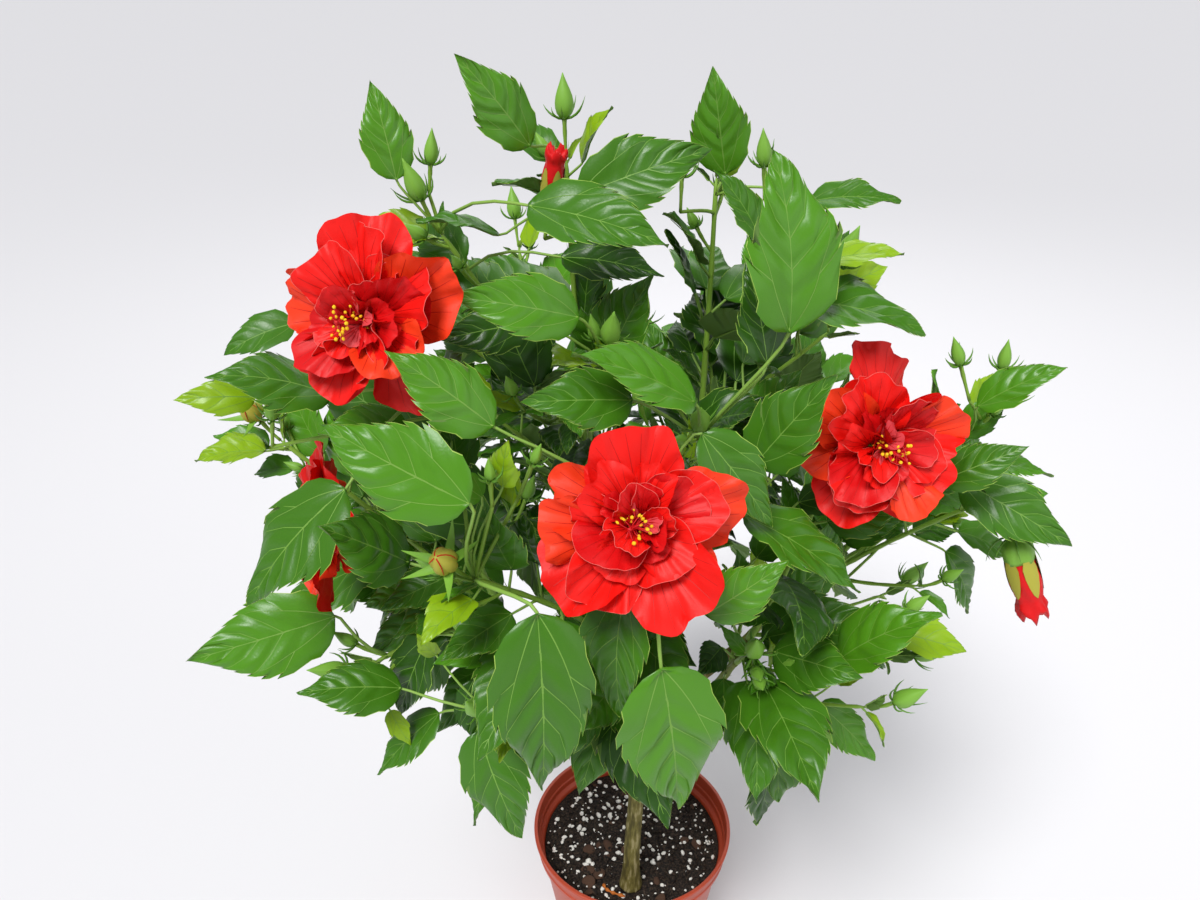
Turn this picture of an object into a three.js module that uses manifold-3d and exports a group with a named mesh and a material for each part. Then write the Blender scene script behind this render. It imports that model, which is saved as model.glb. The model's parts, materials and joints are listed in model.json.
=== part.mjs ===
// A double-flowered red hibiscus grown as a small standard in a plastic nursery pot: one clear stem,
// nine boughs from its pruned head, and a round crown of leafy shoots with four open blooms.
// Millimetres, +Z up, +Y towards the back. The origin is the centre of the pot's flat underside.
import * as THREE from "three";
import { mergeVertices } from "three/addons/utils/BufferGeometryUtils.js";
import Module from "manifold-3d";

const wasm = await Module();
wasm.setup();

// ---- driving dimensions ------------------------------------------------------------------------

const pot = {
  height: 145,
  rimRadius: 82.5, // outside of the rolled lip
  bandHeight: 19, // the thicker collar under the lip
  bandRadius: 79.5, // outside of the collar's lower edge
  bodyRadius: 76.5, // outside of the body where the collar ends
  footRadius: 57,
  wall: 1.8,
  floor: 2.2,
  sides: 28,
  drainRadius: 6,
  drainRing: 43, // the drain holes lie on this circle
  drains: 6,
};
const gap = 0.3; // between solids that touch in the real plant
const shortEdge = 0.02; // shorter ones, left where two solids are joined, are closed up

const soil = { top: 125, sides: 28 };

const trunk = {
  foot: new THREE.Vector3(-2, -44, soil.top + gap),
  head: new THREE.Vector3(2, -30, 322),
  bends: [new THREE.Vector3(-3, -47, 192), new THREE.Vector3(6, -38, 262)],
  footRadius: 9.5, // the root flare
  lowRadius: 6.3,
  highRadius: 5.5,
  headRadius: 8.2, // the knuckle where the stem was once pruned
  sides: 10,
};

const bough = { rootRadius: 4.6, tipRadius: 3.5, sides: 6, rings: 3, rootHeights: [296, 316] };

// A mass's stem, the forks of that stem, and the side shoots, one for each spacing of a main shoot.
const twig = { rootRadius: 3, forkRadius: 1.9, sideRadius: 1.3, tipRadius: 1.3, spacing: 100 };

const leaf = {
  length: 86,
  widthShare: 0.64,
  thickness: 1.3,
  petiole: 30,
  petioleRadius: 0.95,
  internode: 20,
  attempts: 6, // how often a leaf is turned and shortened before it is left out
  clearOfLimbs: 7,
  clearOfMasses: 2,
  clearOfLeaves: 28, // between the middles of full-sized blades
  // share of the blade's length, and of its half width there
  outline: [
    [0.2, 0.96],
    [0.6, 0.8],
  ],
};

// Closed flowers: their length and radius, their stalk, and the share of its length that it drops.
const buds = {
  bud: { length: 24, radius: 5, stalk: 16, drop: -0.3 },
  opening: { length: 36, radius: 7, stalk: 14, drop: -0.3 },
  hanging: { length: 54, radius: 11, stalk: 30, drop: 1.2 },
};
const budStalkRadius = 1.1;

const bloom = {
  stalk: 34,
  stalkRadius: 1.3,
  cupLength: 20,
  cupRadius: 7.5,
  clearance: 56, // nothing grows nearer to the axis than this in front of a bloom
  petalThickness: 1.2,
  outline: [
    [0, 0.14],
    [0.6, 1],
    [0.97, 0.6],
  ],
  // each ring of petals: how many, how long and wide, how far open from the axis, how far up the cup
  rings: [
    { petals: 5, length: 50, width: 42, open: 72, rise: 0, turn: 0, arch: 22, roll: 16 },
    { petals: 4, length: 38, width: 34, open: 48, rise: 4, turn: 36, arch: 34, roll: 18 },
    { petals: 3, length: 27, width: 22, open: 22, rise: 9, turn: 10, arch: 44, roll: 24 },
  ],
};

// The boughs, by the way they leave the head: azimuth (0 is +X, 90 is +Y) and rise, in degrees.
// Each carries one foliage mass. Its stem and its forks end at these tips, each placed by azimuth,
// reach from the head and height above the ground. A tip ends in a bud unless it says otherwise.
const boughs = [
  {
    name: "front", azimuth: -104, rise: 54, length: 84,
    tips: [
      { azimuth: -94, reach: 128, height: 545, ends: "bloom", face: [-93, 30] },
      { azimuth: -122, reach: 172, height: 522 },
      { azimuth: -90, reach: 124, height: 446 },
    ],
  },
  {
    name: "left_front", azimuth: -148, rise: 44, length: 84,
    tips: [
      { azimuth: -150, reach: 146, height: 632, ends: "bloom", face: [-106, 18] },
      { azimuth: -161, reach: 158, height: 490, ends: "bloom", face: [-166, 10] },
      { azimuth: -148, reach: 190, height: 430 },
    ],
  },
  {
    name: "left", azimuth: 178, rise: 40, length: 84,
    tips: [
      { azimuth: 179, reach: 232, height: 522 },
      { azimuth: 168, reach: 214, height: 438 },
    ],
  },
  {
    name: "top_left", azimuth: 160, rise: 74, length: 100,
    tips: [
      { azimuth: 158, reach: 52, height: 694 },
      { azimuth: -174, reach: 118, height: 660, ends: "opening" },
      { azimuth: -115, reach: 62, height: 600 },
    ],
  },
  {
    name: "top_right", azimuth: 4, rise: 76, length: 100,
    tips: [
      { azimuth: 34, reach: 46, height: 682 },
      { azimuth: -22, reach: 98, height: 632 },
      { azimuth: -70, reach: 74, height: 562 },
    ],
  },
  {
    name: "right_front", azimuth: -52, rise: 46, length: 84,
    tips: [
      { azimuth: -28, reach: 122, height: 556, ends: "bloom", face: [-80, 22] },
      { azimuth: -66, reach: 134, height: 452 },
      { azimuth: -30, reach: 166, height: 420 },
    ],
  },
  {
    name: "right", azimuth: 6, rise: 40, length: 84,
    tips: [
      { azimuth: 3, reach: 216, height: 530 },
      { azimuth: -10, reach: 206, height: 500, ends: "hanging" },
      { azimuth: 14, reach: 214, height: 436 },
    ],
  },
  {
    name: "back_right", azimuth: 62, rise: 46, length: 84,
    tips: [
      { azimuth: 56, reach: 192, height: 592 },
      { azimuth: 88, reach: 226, height: 496 },
      { azimuth: 44, reach: 236, height: 448 },
    ],
  },
  {
    name: "back_left", azimuth: 122, rise: 46, length: 84,
    tips: [
      { azimuth: 118, reach: 192, height: 600 },
      { azimuth: 124, reach: 236, height: 448 },
    ],
  },
];

// Leaves face away from the crown's heart, and towards the window on its front where it grew.
const crown = {
  heart: new THREE.Vector3(2, -30, 500),
  window: new THREE.Vector3(0, -0.3, 0),
  low: 330,
  high: 740,
};

// ---- small helpers -----------------------------------------------------------------------------

const up = new THREE.Vector3(0, 0, 1);
const radians = THREE.MathUtils.degToRad;

// A seeded stream of numbers from 0 to 1, the same on every run.
function seeded(seed) {
  let state = Math.imul(seed, 2654435761) >>> 0;
  return () => {
    state = (Math.imul(state, 1664525) + 1013904223) >>> 0;
    return state / 4294967296;
  };
}

// Unit vector at an azimuth and a rise above the level, in degrees.
function heading(azimuth, rise = 0) {
  const a = radians(azimuth);
  const r = radians(rise);
  return new THREE.Vector3(Math.cos(a) * Math.cos(r), Math.sin(a) * Math.cos(r), Math.sin(r));
}

// The part of a vector that is square to an axis, as a unit vector.
function squared(vector, axis) {
  return vector.clone().addScaledVector(axis, -vector.dot(axis)).normalize();
}

// A unit vector square to an axis, the given number of degrees round it.
function around(axis, degrees) {
  const start = squared(Math.abs(axis.z) > 0.9 ? new THREE.Vector3(1, 0, 0) : up, axis);
  return start.applyAxisAngle(axis, radians(degrees));
}

// A point at an azimuth and reach from the head of the trunk, at a height above the ground.
function crownPoint({ azimuth, reach, height }) {
  const point = heading(azimuth).multiplyScalar(reach);
  return point.add(new THREE.Vector3(trunk.head.x, trunk.head.y, height));
}

// ---- solids ------------------------------------------------------------------------------------

function solidFrom(geometry) {
  const bare = geometry.clone();
  bare.deleteAttribute("normal");
  bare.deleteAttribute("uv");
  const merged = mergeVertices(bare, 1e-4);
  return new wasm.Manifold(
    new wasm.Mesh({
      numProp: 3,
      vertProperties: merged.attributes.position.array,
      triVerts: new Uint32Array(merged.index.array),
    }),
  );
}

function geometryFrom(solid) {
  const mesh = solid.getMesh();
  const geometry = new THREE.BufferGeometry();
  geometry.setAttribute("position", new THREE.BufferAttribute(mesh.vertProperties, 3));
  geometry.setIndex(new THREE.BufferAttribute(mesh.triVerts, 1));
  return geometry;
}

// Draws the ends of each edge shorter than shortEdge together, and drops the faces that this shuts.
function closeShortEdges(solid) {
  const { vertProperties, triVerts } = solid.getMesh();
  const corner = (i) => new THREE.Vector3().fromArray(vertProperties, 3 * i);
  const joinedTo = Array.from({ length: vertProperties.length / 3 }, (_, i) => i);
  const end = (i) => (joinedTo[i] === i ? i : end(joinedTo[i]));
  const faces = [];
  for (let i = 0; i < triVerts.length; i += 3) faces.push([...triVerts.slice(i, i + 3)]);
  for (const face of faces) {
    face.forEach((a, i) => {
      const b = face[(i + 1) % 3];
      if (corner(a).distanceTo(corner(b)) < shortEdge) joinedTo[end(a)] = end(b);
    });
  }
  const open = faces.map((face) => face.map(end)).filter((face) => new Set(face).size === 3);
  const geometry = new THREE.BufferGeometry();
  geometry.setAttribute("position", new THREE.BufferAttribute(vertProperties, 3));
  geometry.setIndex(open.flat());
  return solidFrom(geometry);
}

// Joins solids and keeps the outer skin of the largest piece, so no hollow is sealed in.
function fuse(solids) {
  const joined = solids.reduce((whole, piece) => whole.add(piece));
  const pieces = joined.decompose().sort((a, b) => b.volume() - a.volume());
  return closeShortEdges(pieces[0].simplify(shortEdge));
}

// A closed skin over rings of points, all with the same count and turning the same way.
// It ends flat on the last ring, or in a point where one is given.
function loft(rings, point = null) {
  const count = rings[0].length;
  const positions = rings.flat().flatMap((p) => [p.x, p.y, p.z]);
  const faces = [];
  for (let i = 0; i + 1 < rings.length; i++) {
    for (let j = 0; j < count; j++) {
      const a = i * count + j;
      const b = i * count + ((j + 1) % count);
      faces.push(a, b, a + count, b, b + count, a + count);
    }
  }
  for (let j = 1; j + 1 < count; j++) faces.push(0, j + 1, j);
  const last = (rings.length - 1) * count;
  if (point) {
    positions.push(point.x, point.y, point.z);
    const tip = rings.length * count;
    for (let j = 0; j < count; j++) faces.push(last + j, last + ((j + 1) % count), tip);
  } else {
    for (let j = 1; j + 1 < count; j++) faces.push(last, last + j, last + j + 1);
  }
  const geometry = new THREE.BufferGeometry();
  geometry.setAttribute("position", new THREE.Float32BufferAttribute(positions, 3));
  geometry.setIndex(faces);
  return solidFrom(geometry);
}

// A ring of points round a centre, square to an axis.
function ring(centre, axis, side, radius, sides) {
  const start = squared(side, axis);
  return Array.from({ length: sides }, (_, i) =>
    start
      .clone()
      .applyAxisAngle(axis, (i / sides) * 2 * Math.PI)
      .multiplyScalar(radius)
      .add(centre),
  );
}

// A round limb along a curve. radiusAt gives its radius at a share of its length.
function limb(curve, radiusAt, rings, sides) {
  const side = around(curve.getTangent(0), 0);
  const made = [];
  for (let i = 0; i <= rings; i++) {
    const t = i / rings;
    made.push(ring(curve.getPoint(t), curve.getTangent(t), side, radiusAt(t), sides));
  }
  return loft(made);
}

const taper = (from, to) => (t) => THREE.MathUtils.lerp(from, to, t);

// ---- pot, soil, trunk and boughs ---------------------------------------------------------------

function turned(profile, sides) {
  const points = profile.map(([radius, height]) => new THREE.Vector2(radius, height));
  return new THREE.LatheGeometry([...points, points[0]], sides).rotateX(Math.PI / 2);
}

const collar = pot.height - pot.bandHeight; // the height of the collar's lower edge

// The pot's inner radius at a height, on the wall between its floor and the collar.
function potInside(height) {
  const share = (height - pot.floor) / (collar - pot.floor);
  return THREE.MathUtils.lerp(pot.footRadius, pot.bodyRadius, share) - pot.wall;
}

function makePot() {
  const lip = pot.rimRadius;
  const profile = [
    [0, 0],
    [pot.footRadius, 0],
    [pot.bodyRadius, collar],
    [pot.bandRadius, collar],
    [lip - 1.4, pot.height - 4],
    [lip, pot.height - 3],
    [lip, pot.height],
    [lip - 3, pot.height],
    [pot.bandRadius - pot.wall, collar + 3],
    [potInside(collar), collar],
    [potInside(pot.floor), pot.floor],
    [0, pot.floor],
  ];
  let made = solidFrom(turned(profile, pot.sides));
  for (let i = 0; i < pot.drains; i++) {
    const drain = new THREE.CylinderGeometry(pot.drainRadius, pot.drainRadius, 3 * pot.floor, 8);
    const place = heading((360 * (i + 0.5)) / pot.drains).multiplyScalar(pot.drainRing);
    drain.rotateX(Math.PI / 2).translate(place.x, place.y, 0);
    made = made.subtract(solidFrom(drain));
  }
  return made;
}

function makeSoil() {
  const low = pot.floor + gap;
  const wide = potInside(soil.top) - gap;
  const narrow = potInside(low) - gap;
  const profile = [
    [0, low],
    [narrow, low],
    [wide, soil.top],
    [0, soil.top],
  ];
  return solidFrom(turned(profile, soil.sides));
}

const trunkCurve = new THREE.CubicBezierCurve3(trunk.foot, ...trunk.bends, trunk.head);

// Root flare, a slow taper, and the swollen head.
function trunkRadius(t) {
  const flare = Math.exp(-t * 16) * (trunk.footRadius - trunk.lowRadius);
  const knuckle = Math.exp(-(((t - 0.93) / 0.075) ** 2)) * (trunk.headRadius - trunk.highRadius);
  return THREE.MathUtils.lerp(trunk.lowRadius, trunk.highRadius, t) + flare + knuckle;
}

function trunkSolid(extra = 0) {
  const stops = [0, 0.03, 0.08, 0.16, 0.32, 0.5, 0.68, 0.8, 0.87, 0.93, 0.98, 1];
  const rings = stops.map((t) => {
    const axis = t === 0 ? up : trunkCurve.getTangent(t);
    const end = t === 1 ? -2 : 0; // the head is domed off
    const side = new THREE.Vector3(1, 0, 0);
    return ring(trunkCurve.getPoint(t), axis, side, trunkRadius(t) + extra + end, trunk.sides);
  });
  return loft(rings);
}

// The curve of each bough: out of the head at its own height, then bending up a little.
function boughCurve(row, index) {
  const [low, high] = bough.rootHeights;
  const share = THREE.MathUtils.clamp((row.rise - 40) / 36, 0, 1);
  const height = THREE.MathUtils.lerp(low, high, share) - (index % 2) * 5;
  const root = new THREE.Vector3(trunk.head.x, trunk.head.y - 1, height);
  root.addScaledVector(heading(row.azimuth), 3);
  const middle = root.clone().addScaledVector(heading(row.azimuth, row.rise - 9), row.length / 2);
  const tip = root.clone().addScaledVector(heading(row.azimuth, row.rise), row.length);
  return new THREE.QuadraticBezierCurve3(root, middle, tip);
}

// ---- leaves, buds and blooms -------------------------------------------------------------------

// The sections of a thin blade, each a flat triangle: its two edges, and the keel under its rib.
// frame holds its root, its direction, and the way its upper face looks. It arches towards its back.
function bladeSections(frame, outline, width, keel) {
  const { root, direction, face, length, arch } = frame;
  const side = new THREE.Vector3().crossVectors(direction, face).normalize();
  const sections = [];
  const centre = root.clone();
  let before = 0;
  const advance = (share) => {
    const way = direction.clone().applyAxisAngle(side, -radians(arch) * ((before + share) / 2));
    centre.addScaledVector(way, (share - before) * length);
    before = share;
  };
  for (const [share, widthShare] of outline) {
    advance(share);
    const out = side.clone().multiplyScalar((width * widthShare) / 2);
    const here = direction.clone().applyAxisAngle(side, -radians(arch) * share);
    const down = new THREE.Vector3().crossVectors(here, side).multiplyScalar(keel);
    sections.push([centre.clone().add(out), centre.clone().add(down), centre.clone().sub(out)]);
  }
  advance(1);
  return { sections, tip: centre };
}

// Where a leaf stands: its stalk leaves the shoot at root, and its blade hangs from the stalk's end.
// age runs from 0 at the shoot's tip to 1 at its foot.
function leafFrame({ root, shoot, turn, age, size }, attempt, random) {
  const away = around(shoot, turn + 37 * attempt);
  const outward = squared(root.clone().sub(crown.heart), up);
  const height = THREE.MathUtils.clamp((root.z - crown.low) / (crown.high - crown.low), 0, 1);
  const stalkWay = shoot.clone().multiplyScalar(0.5).addScaledVector(away, 0.85);
  stalkWay.addScaledVector(up, 0.2).normalize();
  const stalk = leaf.petiole * (0.45 + 0.55 * age) * (0.8 + 0.4 * random());
  const spread = radians(28 + 48 * age + 14 * (random() - 0.5));
  const direction = shoot.clone().multiplyScalar(Math.cos(spread));
  direction.addScaledVector(away, Math.sin(spread));
  direction.addScaledVector(outward, 0.25);
  direction.addScaledVector(up, -(0.05 + 0.3 * age + 0.35 * (1 - height) * age));
  direction.normalize();
  const light = up.clone().multiplyScalar(0.75).addScaledVector(outward, 0.45).add(crown.window);
  const face = squared(light, direction);
  face.applyAxisAngle(direction, radians(44 * (random() - 0.5)));
  return {
    foot: root,
    root: root.clone().addScaledVector(stalkWay, stalk),
    stalkWay,
    direction,
    face,
    length: leaf.length * size * (1 - 0.07 * attempt),
    arch: 14 + 34 * random(),
  };
}

function leafSections(frame) {
  return bladeSections(frame, leaf.outline, frame.length * leaf.widthShare, leaf.thickness);
}

function makeLeaf(frame) {
  const { sections, tip } = leafSections(frame);
  const side = new THREE.Vector3().crossVectors(frame.direction, frame.face).normalize();
  const bend = frame.stalkWay.clone().add(frame.direction).normalize();
  const foot = ring(frame.foot, frame.stalkWay, side, leaf.petioleRadius * 0.7, 3);
  const knee = ring(frame.root, bend, side, leaf.petioleRadius, 3);
  return loft([foot, knee, ...sections], tip);
}

// A bud on its stalk, four-sided and widest a third of the way up.
function makeBud(root, way, { length, radius, stalk, drop } = buds.bud) {
  const neck = root.clone().addScaledVector(way, stalk).addScaledVector(up, -drop * stalk);
  const direction = neck.clone().sub(root).addScaledVector(up, -drop * stalk).normalize();
  const side = around(direction, 0);
  const at = (share) => neck.clone().addScaledVector(direction, share * length);
  const rings = [
    ring(root, direction, side, budStalkRadius * 0.8, 4),
    ring(neck, direction, side, budStalkRadius, 4),
    ring(at(0.34), direction, side, radius, 4),
  ];
  return loft(rings, at(1));
}

// A petal of one ring of a bloom. It is rolled a little, so its edge lies over the next one's.
function petalFrame(centre, axis, row, index, random) {
  const away = around(axis, row.turn + (360 * index) / row.petals + 8 * (random() - 0.5));
  const open = radians(row.open + 8 * (random() - 0.5));
  const direction = axis.clone().multiplyScalar(Math.cos(open)).addScaledVector(away, Math.sin(open));
  return {
    root: centre.clone().addScaledVector(axis, row.rise).addScaledVector(away, 1.5),
    direction,
    face: squared(axis, direction).applyAxisAngle(direction, radians(row.roll)),
    length: row.length * (0.92 + 0.16 * random()),
    arch: row.arch,
  };
}

// An open double bloom: its cup stands on the stalk's end, with rings of petals out of its mouth.
function makeBloom(centre, axis, random) {
  const side = around(axis, 0);
  const at = (along) => centre.clone().addScaledVector(axis, along);
  const cup = [
    ring(at(-bloom.cupLength), axis, side, 2.4, 6),
    ring(at(-bloom.cupLength * 0.5), axis, side, bloom.cupRadius, 6),
    ring(at(6), axis, side, bloom.cupRadius * 0.7, 6),
  ];
  const solids = [loft(cup, at(30))];
  for (const row of bloom.rings) {
    for (let i = 0; i < row.petals; i++) {
      const frame = petalFrame(centre, axis, row, i, random);
      solids.push(loft(bladeSections(frame, bloom.outline, row.width, bloom.petalThickness).sections));
    }
  }
  return fuse(solids);
}

// ---- foliage masses ----------------------------------------------------------------------------

// Every mass with its main shoots: the stem from the tip of its bough, and the forks of that stem.
const masses = boughs.map((row, number) => {
  const curve = boughCurve(row, number);
  const way = curve.getTangent(1);
  const shoots = [];
  row.tips.forEach((tip, i) => {
    const target = crownPoint(tip);
    const t = 0.1 + 0.1 * i;
    const root = i === 0 ? curve.getPoint(1).addScaledVector(way, gap) : shoots[0].getPoint(t);
    const start = i === 0 ? way : shoots[0].getTangent(t);
    const bend = root.clone().addScaledVector(start, root.distanceTo(target) * 0.36);
    shoots.push(new THREE.QuadraticBezierCurve3(root, bend, target));
  });
  const lines = shoots.map((shoot) => shoot.getPoints(8));
  return { name: row.name, seed: number + 1, tips: row.tips, shoots, lines };
});

// The trunk and the boughs, as lines that foliage keeps clear of.
const hardLimbs = [trunkCurve.getPoints(12), ...boughs.map((row, i) => boughCurve(row, i).getPoints(6))];

function distanceTo(line, point) {
  const segment = new THREE.Line3();
  const foot = new THREE.Vector3();
  let least = Infinity;
  for (let i = 1; i < line.length; i++) {
    segment.set(line[i - 1], line[i]).closestPointToPoint(point, true, foot);
    least = Math.min(least, foot.distanceTo(point));
  }
  return least;
}

function distanceToMass(mass, point) {
  return Math.min(...mass.lines.map((line) => distanceTo(line, point)));
}

// A mass keeps to the points that lie nearer to its own shoots than to any other's, off the limbs.
function inOwnSpace(point, mass) {
  if (hardLimbs.some((line) => distanceTo(line, point) < leaf.clearOfLimbs)) return false;
  const own = distanceToMass(mass, point) + 2 * leaf.clearOfMasses;
  return masses.every((other) => other === mass || distanceToMass(other, point) > own);
}

const blooms = boughs.flatMap((row) =>
  row.tips
    .filter((tip) => tip.ends === "bloom")
    .map((tip) => {
      const axis = heading(...tip.face);
      return { tip, axis, centre: crownPoint(tip).addScaledVector(axis, bloom.stalk) };
    }),
);

// Nothing grows in the space that a bloom opens into.
function inFrontOfBloom(point) {
  return blooms.some(({ centre, axis }) => {
    const from = point.clone().sub(centre);
    const along = from.dot(axis);
    return along > -6 && along < 85 && from.addScaledVector(axis, -along).length() < bloom.clearance;
  });
}

// The two halves of a blade as triangles, and the lines along its edges, rib and stalk.
function sheetOf(frame) {
  const { sections, tip } = leafSections(frame);
  const rows = sections.map(([left, , right]) => [left, left.clone().lerp(right, 0.5), right]);
  const triangles = [];
  const lines = [[frame.foot, frame.root]];
  for (const side of [0, 2]) {
    triangles.push([frame.root, rows[0][side], rows[0][1]]);
    for (let i = 1; i < rows.length; i++) {
      triangles.push([rows[i - 1][side], rows[i][side], rows[i][1]]);
      triangles.push([rows[i - 1][side], rows[i][1], rows[i - 1][1]]);
    }
    triangles.push([rows.at(-1)[side], tip, rows.at(-1)[1]]);
  }
  for (const column of [0, 1, 2]) {
    const line = [frame.root, ...rows.map((row) => row[column]), tip];
    for (let i = 1; i < line.length; i++) lines.push([line[i - 1], line[i]]);
  }
  for (const row of rows) lines.push([row[0], row[1]], [row[1], row[2]]);
  const points = lines.flatMap(([from, to]) => [from.clone().lerp(to, 0.5), to]);
  return { triangles, lines, points, middle: rows[1][1] };
}

// Whether a line from a to b passes through a triangle.
function pierces([a, b], [p, q, r]) {
  const way = b.clone().sub(a);
  const u = q.clone().sub(p);
  const v = r.clone().sub(p);
  const h = new THREE.Vector3().crossVectors(way, v);
  const det = u.dot(h);
  if (Math.abs(det) < 1e-9) return false;
  const s = a.clone().sub(p);
  const x = s.dot(h) / det;
  const k = s.cross(u);
  const y = way.dot(k) / det;
  const t = v.dot(k) / det;
  return x > 0 && y > 0 && x + y < 1 && t > 0 && t < 1;
}

function cross(one, other) {
  if (one.middle.distanceTo(other.middle) > 1.3 * leaf.length) return false;
  return (
    one.lines.some((line) => other.triangles.some((t) => pierces(line, t))) ||
    other.lines.some((line) => one.triangles.some((t) => pierces(line, t)))
  );
}

// Tries a leaf a few ways, each turned further and smaller, and gives the first that fits, if any.
function fittingLeaf(mass, spot, twigs, kept, random) {
  for (let attempt = 0; attempt < leaf.attempts; attempt++) {
    const frame = leafFrame(spot, attempt, random);
    const sheet = sheetOf(frame);
    const room = leaf.clearOfLeaves * spot.size;
    const fits =
      !kept.some((other) => other.middle.distanceTo(sheet.middle) < room) &&
      sheet.points.every((p) => inOwnSpace(p, mass) && !inFrontOfBloom(p)) &&
      !kept.some((other) => cross(sheet, other)) &&
      !twigs.some((line) => sheet.triangles.some((t) => pierces(line, t)));
    if (fits) {
      kept.push(sheet);
      return frame;
    }
  }
  return null;
}

// The leaves up one shoot, by the golden angle from its foot to its tip.
function leavesOn(mass, shoot, number, twigs, kept) {
  const from = number === 0 ? 0.1 : 0.2;
  const steps = Math.max(2, Math.round((shoot.getLength() * (1 - from)) / leaf.internode));
  const frames = [];
  const start = 360 * seeded(mass.seed * 31 + number)();
  for (let i = 0; i <= steps; i++) {
    const random = seeded(mass.seed * 9973 + number * 61 + i);
    const t = from + (0.97 - from) * (i / steps);
    const age = 1 - i / steps;
    const spot = {
      root: shoot.getPoint(t),
      shoot: shoot.getTangent(t),
      turn: start + 137.5 * i,
      age,
      size: (0.42 + 0.58 * Math.min(1, 3.2 * age)) * (0.88 + 0.24 * random()),
    };
    const frame = fittingLeaf(mass, spot, twigs, kept, random);
    if (frame) frames.push(frame);
  }
  return frames;
}

// The side shoots of one main shoot. Each is tried a few ways until it stays in its mass's space.
function sideShoots(mass, main, number) {
  const shoots = [];
  const length = main.getLength();
  const count = Math.round(length / twig.spacing);
  for (let i = 0; i < count; i++) {
    const t = 0.16 + (0.56 * i) / count;
    const root = main.getPoint(t);
    const way = main.getTangent(t);
    const random = seeded(mass.seed * 613 + number * 17 + i);
    for (let attempt = 0; attempt < 6; attempt++) {
      const away = around(way, 137.5 * i + 360 * random());
      const reach = length * (0.5 - 0.3 * t - 0.04 * attempt) * (0.85 + 0.3 * random());
      const aim = way.clone().multiplyScalar(0.6).addScaledVector(away, 0.8).addScaledVector(up, 0.1);
      const tip = root.clone().addScaledVector(aim.normalize(), reach);
      const bend = root.clone().addScaledVector(away, reach * 0.34).addScaledVector(way, reach * 0.2);
      const curve = new THREE.QuadraticBezierCurve3(root, bend, tip);
      const points = [0.4, 0.7, 1].map((share) => curve.getPoint(share));
      if (points.every((p) => inOwnSpace(p, mass) && !inFrontOfBloom(p))) {
        shoots.push(curve);
        break;
      }
    }
  }
  return shoots;
}

function makeMass(mass) {
  const sides = mass.shoots.flatMap((main, i) => sideShoots(mass, main, i));
  const shoots = [...mass.shoots, ...sides];
  const solids = shoots.map((shoot, i) => {
    if (i >= mass.shoots.length) return limb(shoot, taper(twig.sideRadius, twig.tipRadius), 2, 3);
    return limb(shoot, taper(i ? twig.forkRadius : twig.rootRadius, twig.tipRadius), 4, 4);
  });
  const twigs = shoots.flatMap((shoot) => {
    const points = shoot.getPoints(5);
    return points.slice(1).map((p, i) => [points[i], p]);
  });
  const kept = [];
  const frames = shoots.flatMap((shoot, i) => leavesOn(mass, shoot, i, twigs, kept));
  solids.push(...frames.map(makeLeaf));
  mass.tips.forEach((tip, i) => solids.push(...tipSolids(tip, mass.shoots[i], mass.seed)));
  for (const side of sides.slice(0, 1)) solids.push(makeBud(side.getPoint(1), side.getTangent(1)));
  console.log(mass.name, "shoots", shoots.length, "leaves", frames.length);
  return fuse(solids);
}

// What a main shoot ends in.
function tipSolids(tip, shoot, seed) {
  const end = shoot.getPoint(1);
  const way = shoot.getTangent(1);
  if (tip.ends !== "bloom") return [makeBud(end, way, buds[tip.ends])];
  const { centre, axis } = blooms.find((one) => one.tip === tip);
  const foot = centre.clone().addScaledVector(axis, -bloom.cupLength + 2);
  const stalk = new THREE.QuadraticBezierCurve3(end, end.clone().addScaledVector(way, 10), foot);
  return [limb(stalk, () => bloom.stalkRadius, 2, 4), makeBloom(centre, axis, seeded(seed))];
}

// ---- the whole plant ---------------------------------------------------------------------------

const finishes = {
  pot: new THREE.MeshStandardMaterial({ color: 0xb5532f, roughness: 0.55, metalness: 0 }),
  soil: new THREE.MeshStandardMaterial({ color: 0x241a14, roughness: 0.95, metalness: 0 }),
  bark: new THREE.MeshStandardMaterial({ color: 0x7d7048, roughness: 0.85, metalness: 0 }),
  foliage: new THREE.MeshStandardMaterial({ color: 0x3f8a2c, roughness: 0.45, metalness: 0 }),
};

const plant = new THREE.Group();

function addNode(name, solid, finish) {
  const mesh = new THREE.Mesh(geometryFrom(solid), finish);
  mesh.name = name;
  plant.add(mesh);
}

addNode("pot", makePot(), finishes.pot);
addNode("potting_mix", makeSoil(), finishes.soil);
addNode("trunk", trunkSolid(), finishes.bark);

// A bough's root is cut to the head, with the gap between them, and to the boughs made before it.
const headroom = trunkSolid(gap);
const grown = [];
boughs.forEach((row, index) => {
  const curve = boughCurve(row, index);
  const radius = taper(bough.rootRadius, bough.tipRadius);
  let made = limb(curve, radius, bough.rings, bough.sides).subtract(headroom);
  for (const other of grown) made = made.subtract(other);
  grown.push(limb(curve, (t) => radius(t) + gap, bough.rings, bough.sides));
  addNode(`bough_${row.name}`, fuse([made]), finishes.bark);
});

for (const mass of masses) addNode(`foliage_${mass.name}`, makeMass(mass), finishes.foliage);

export default plant;
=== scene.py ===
# A double-flowered red hibiscus grown as a small standard in a plastic nursery pot. The crown grows by
# the same seeded rule as its solids, and is carried on here to finer shoots, leaves, buds and petals.
# Lengths in the dictionaries are millimetres, angles are degrees, and every mesh is made in metres.
import json
import math

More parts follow.
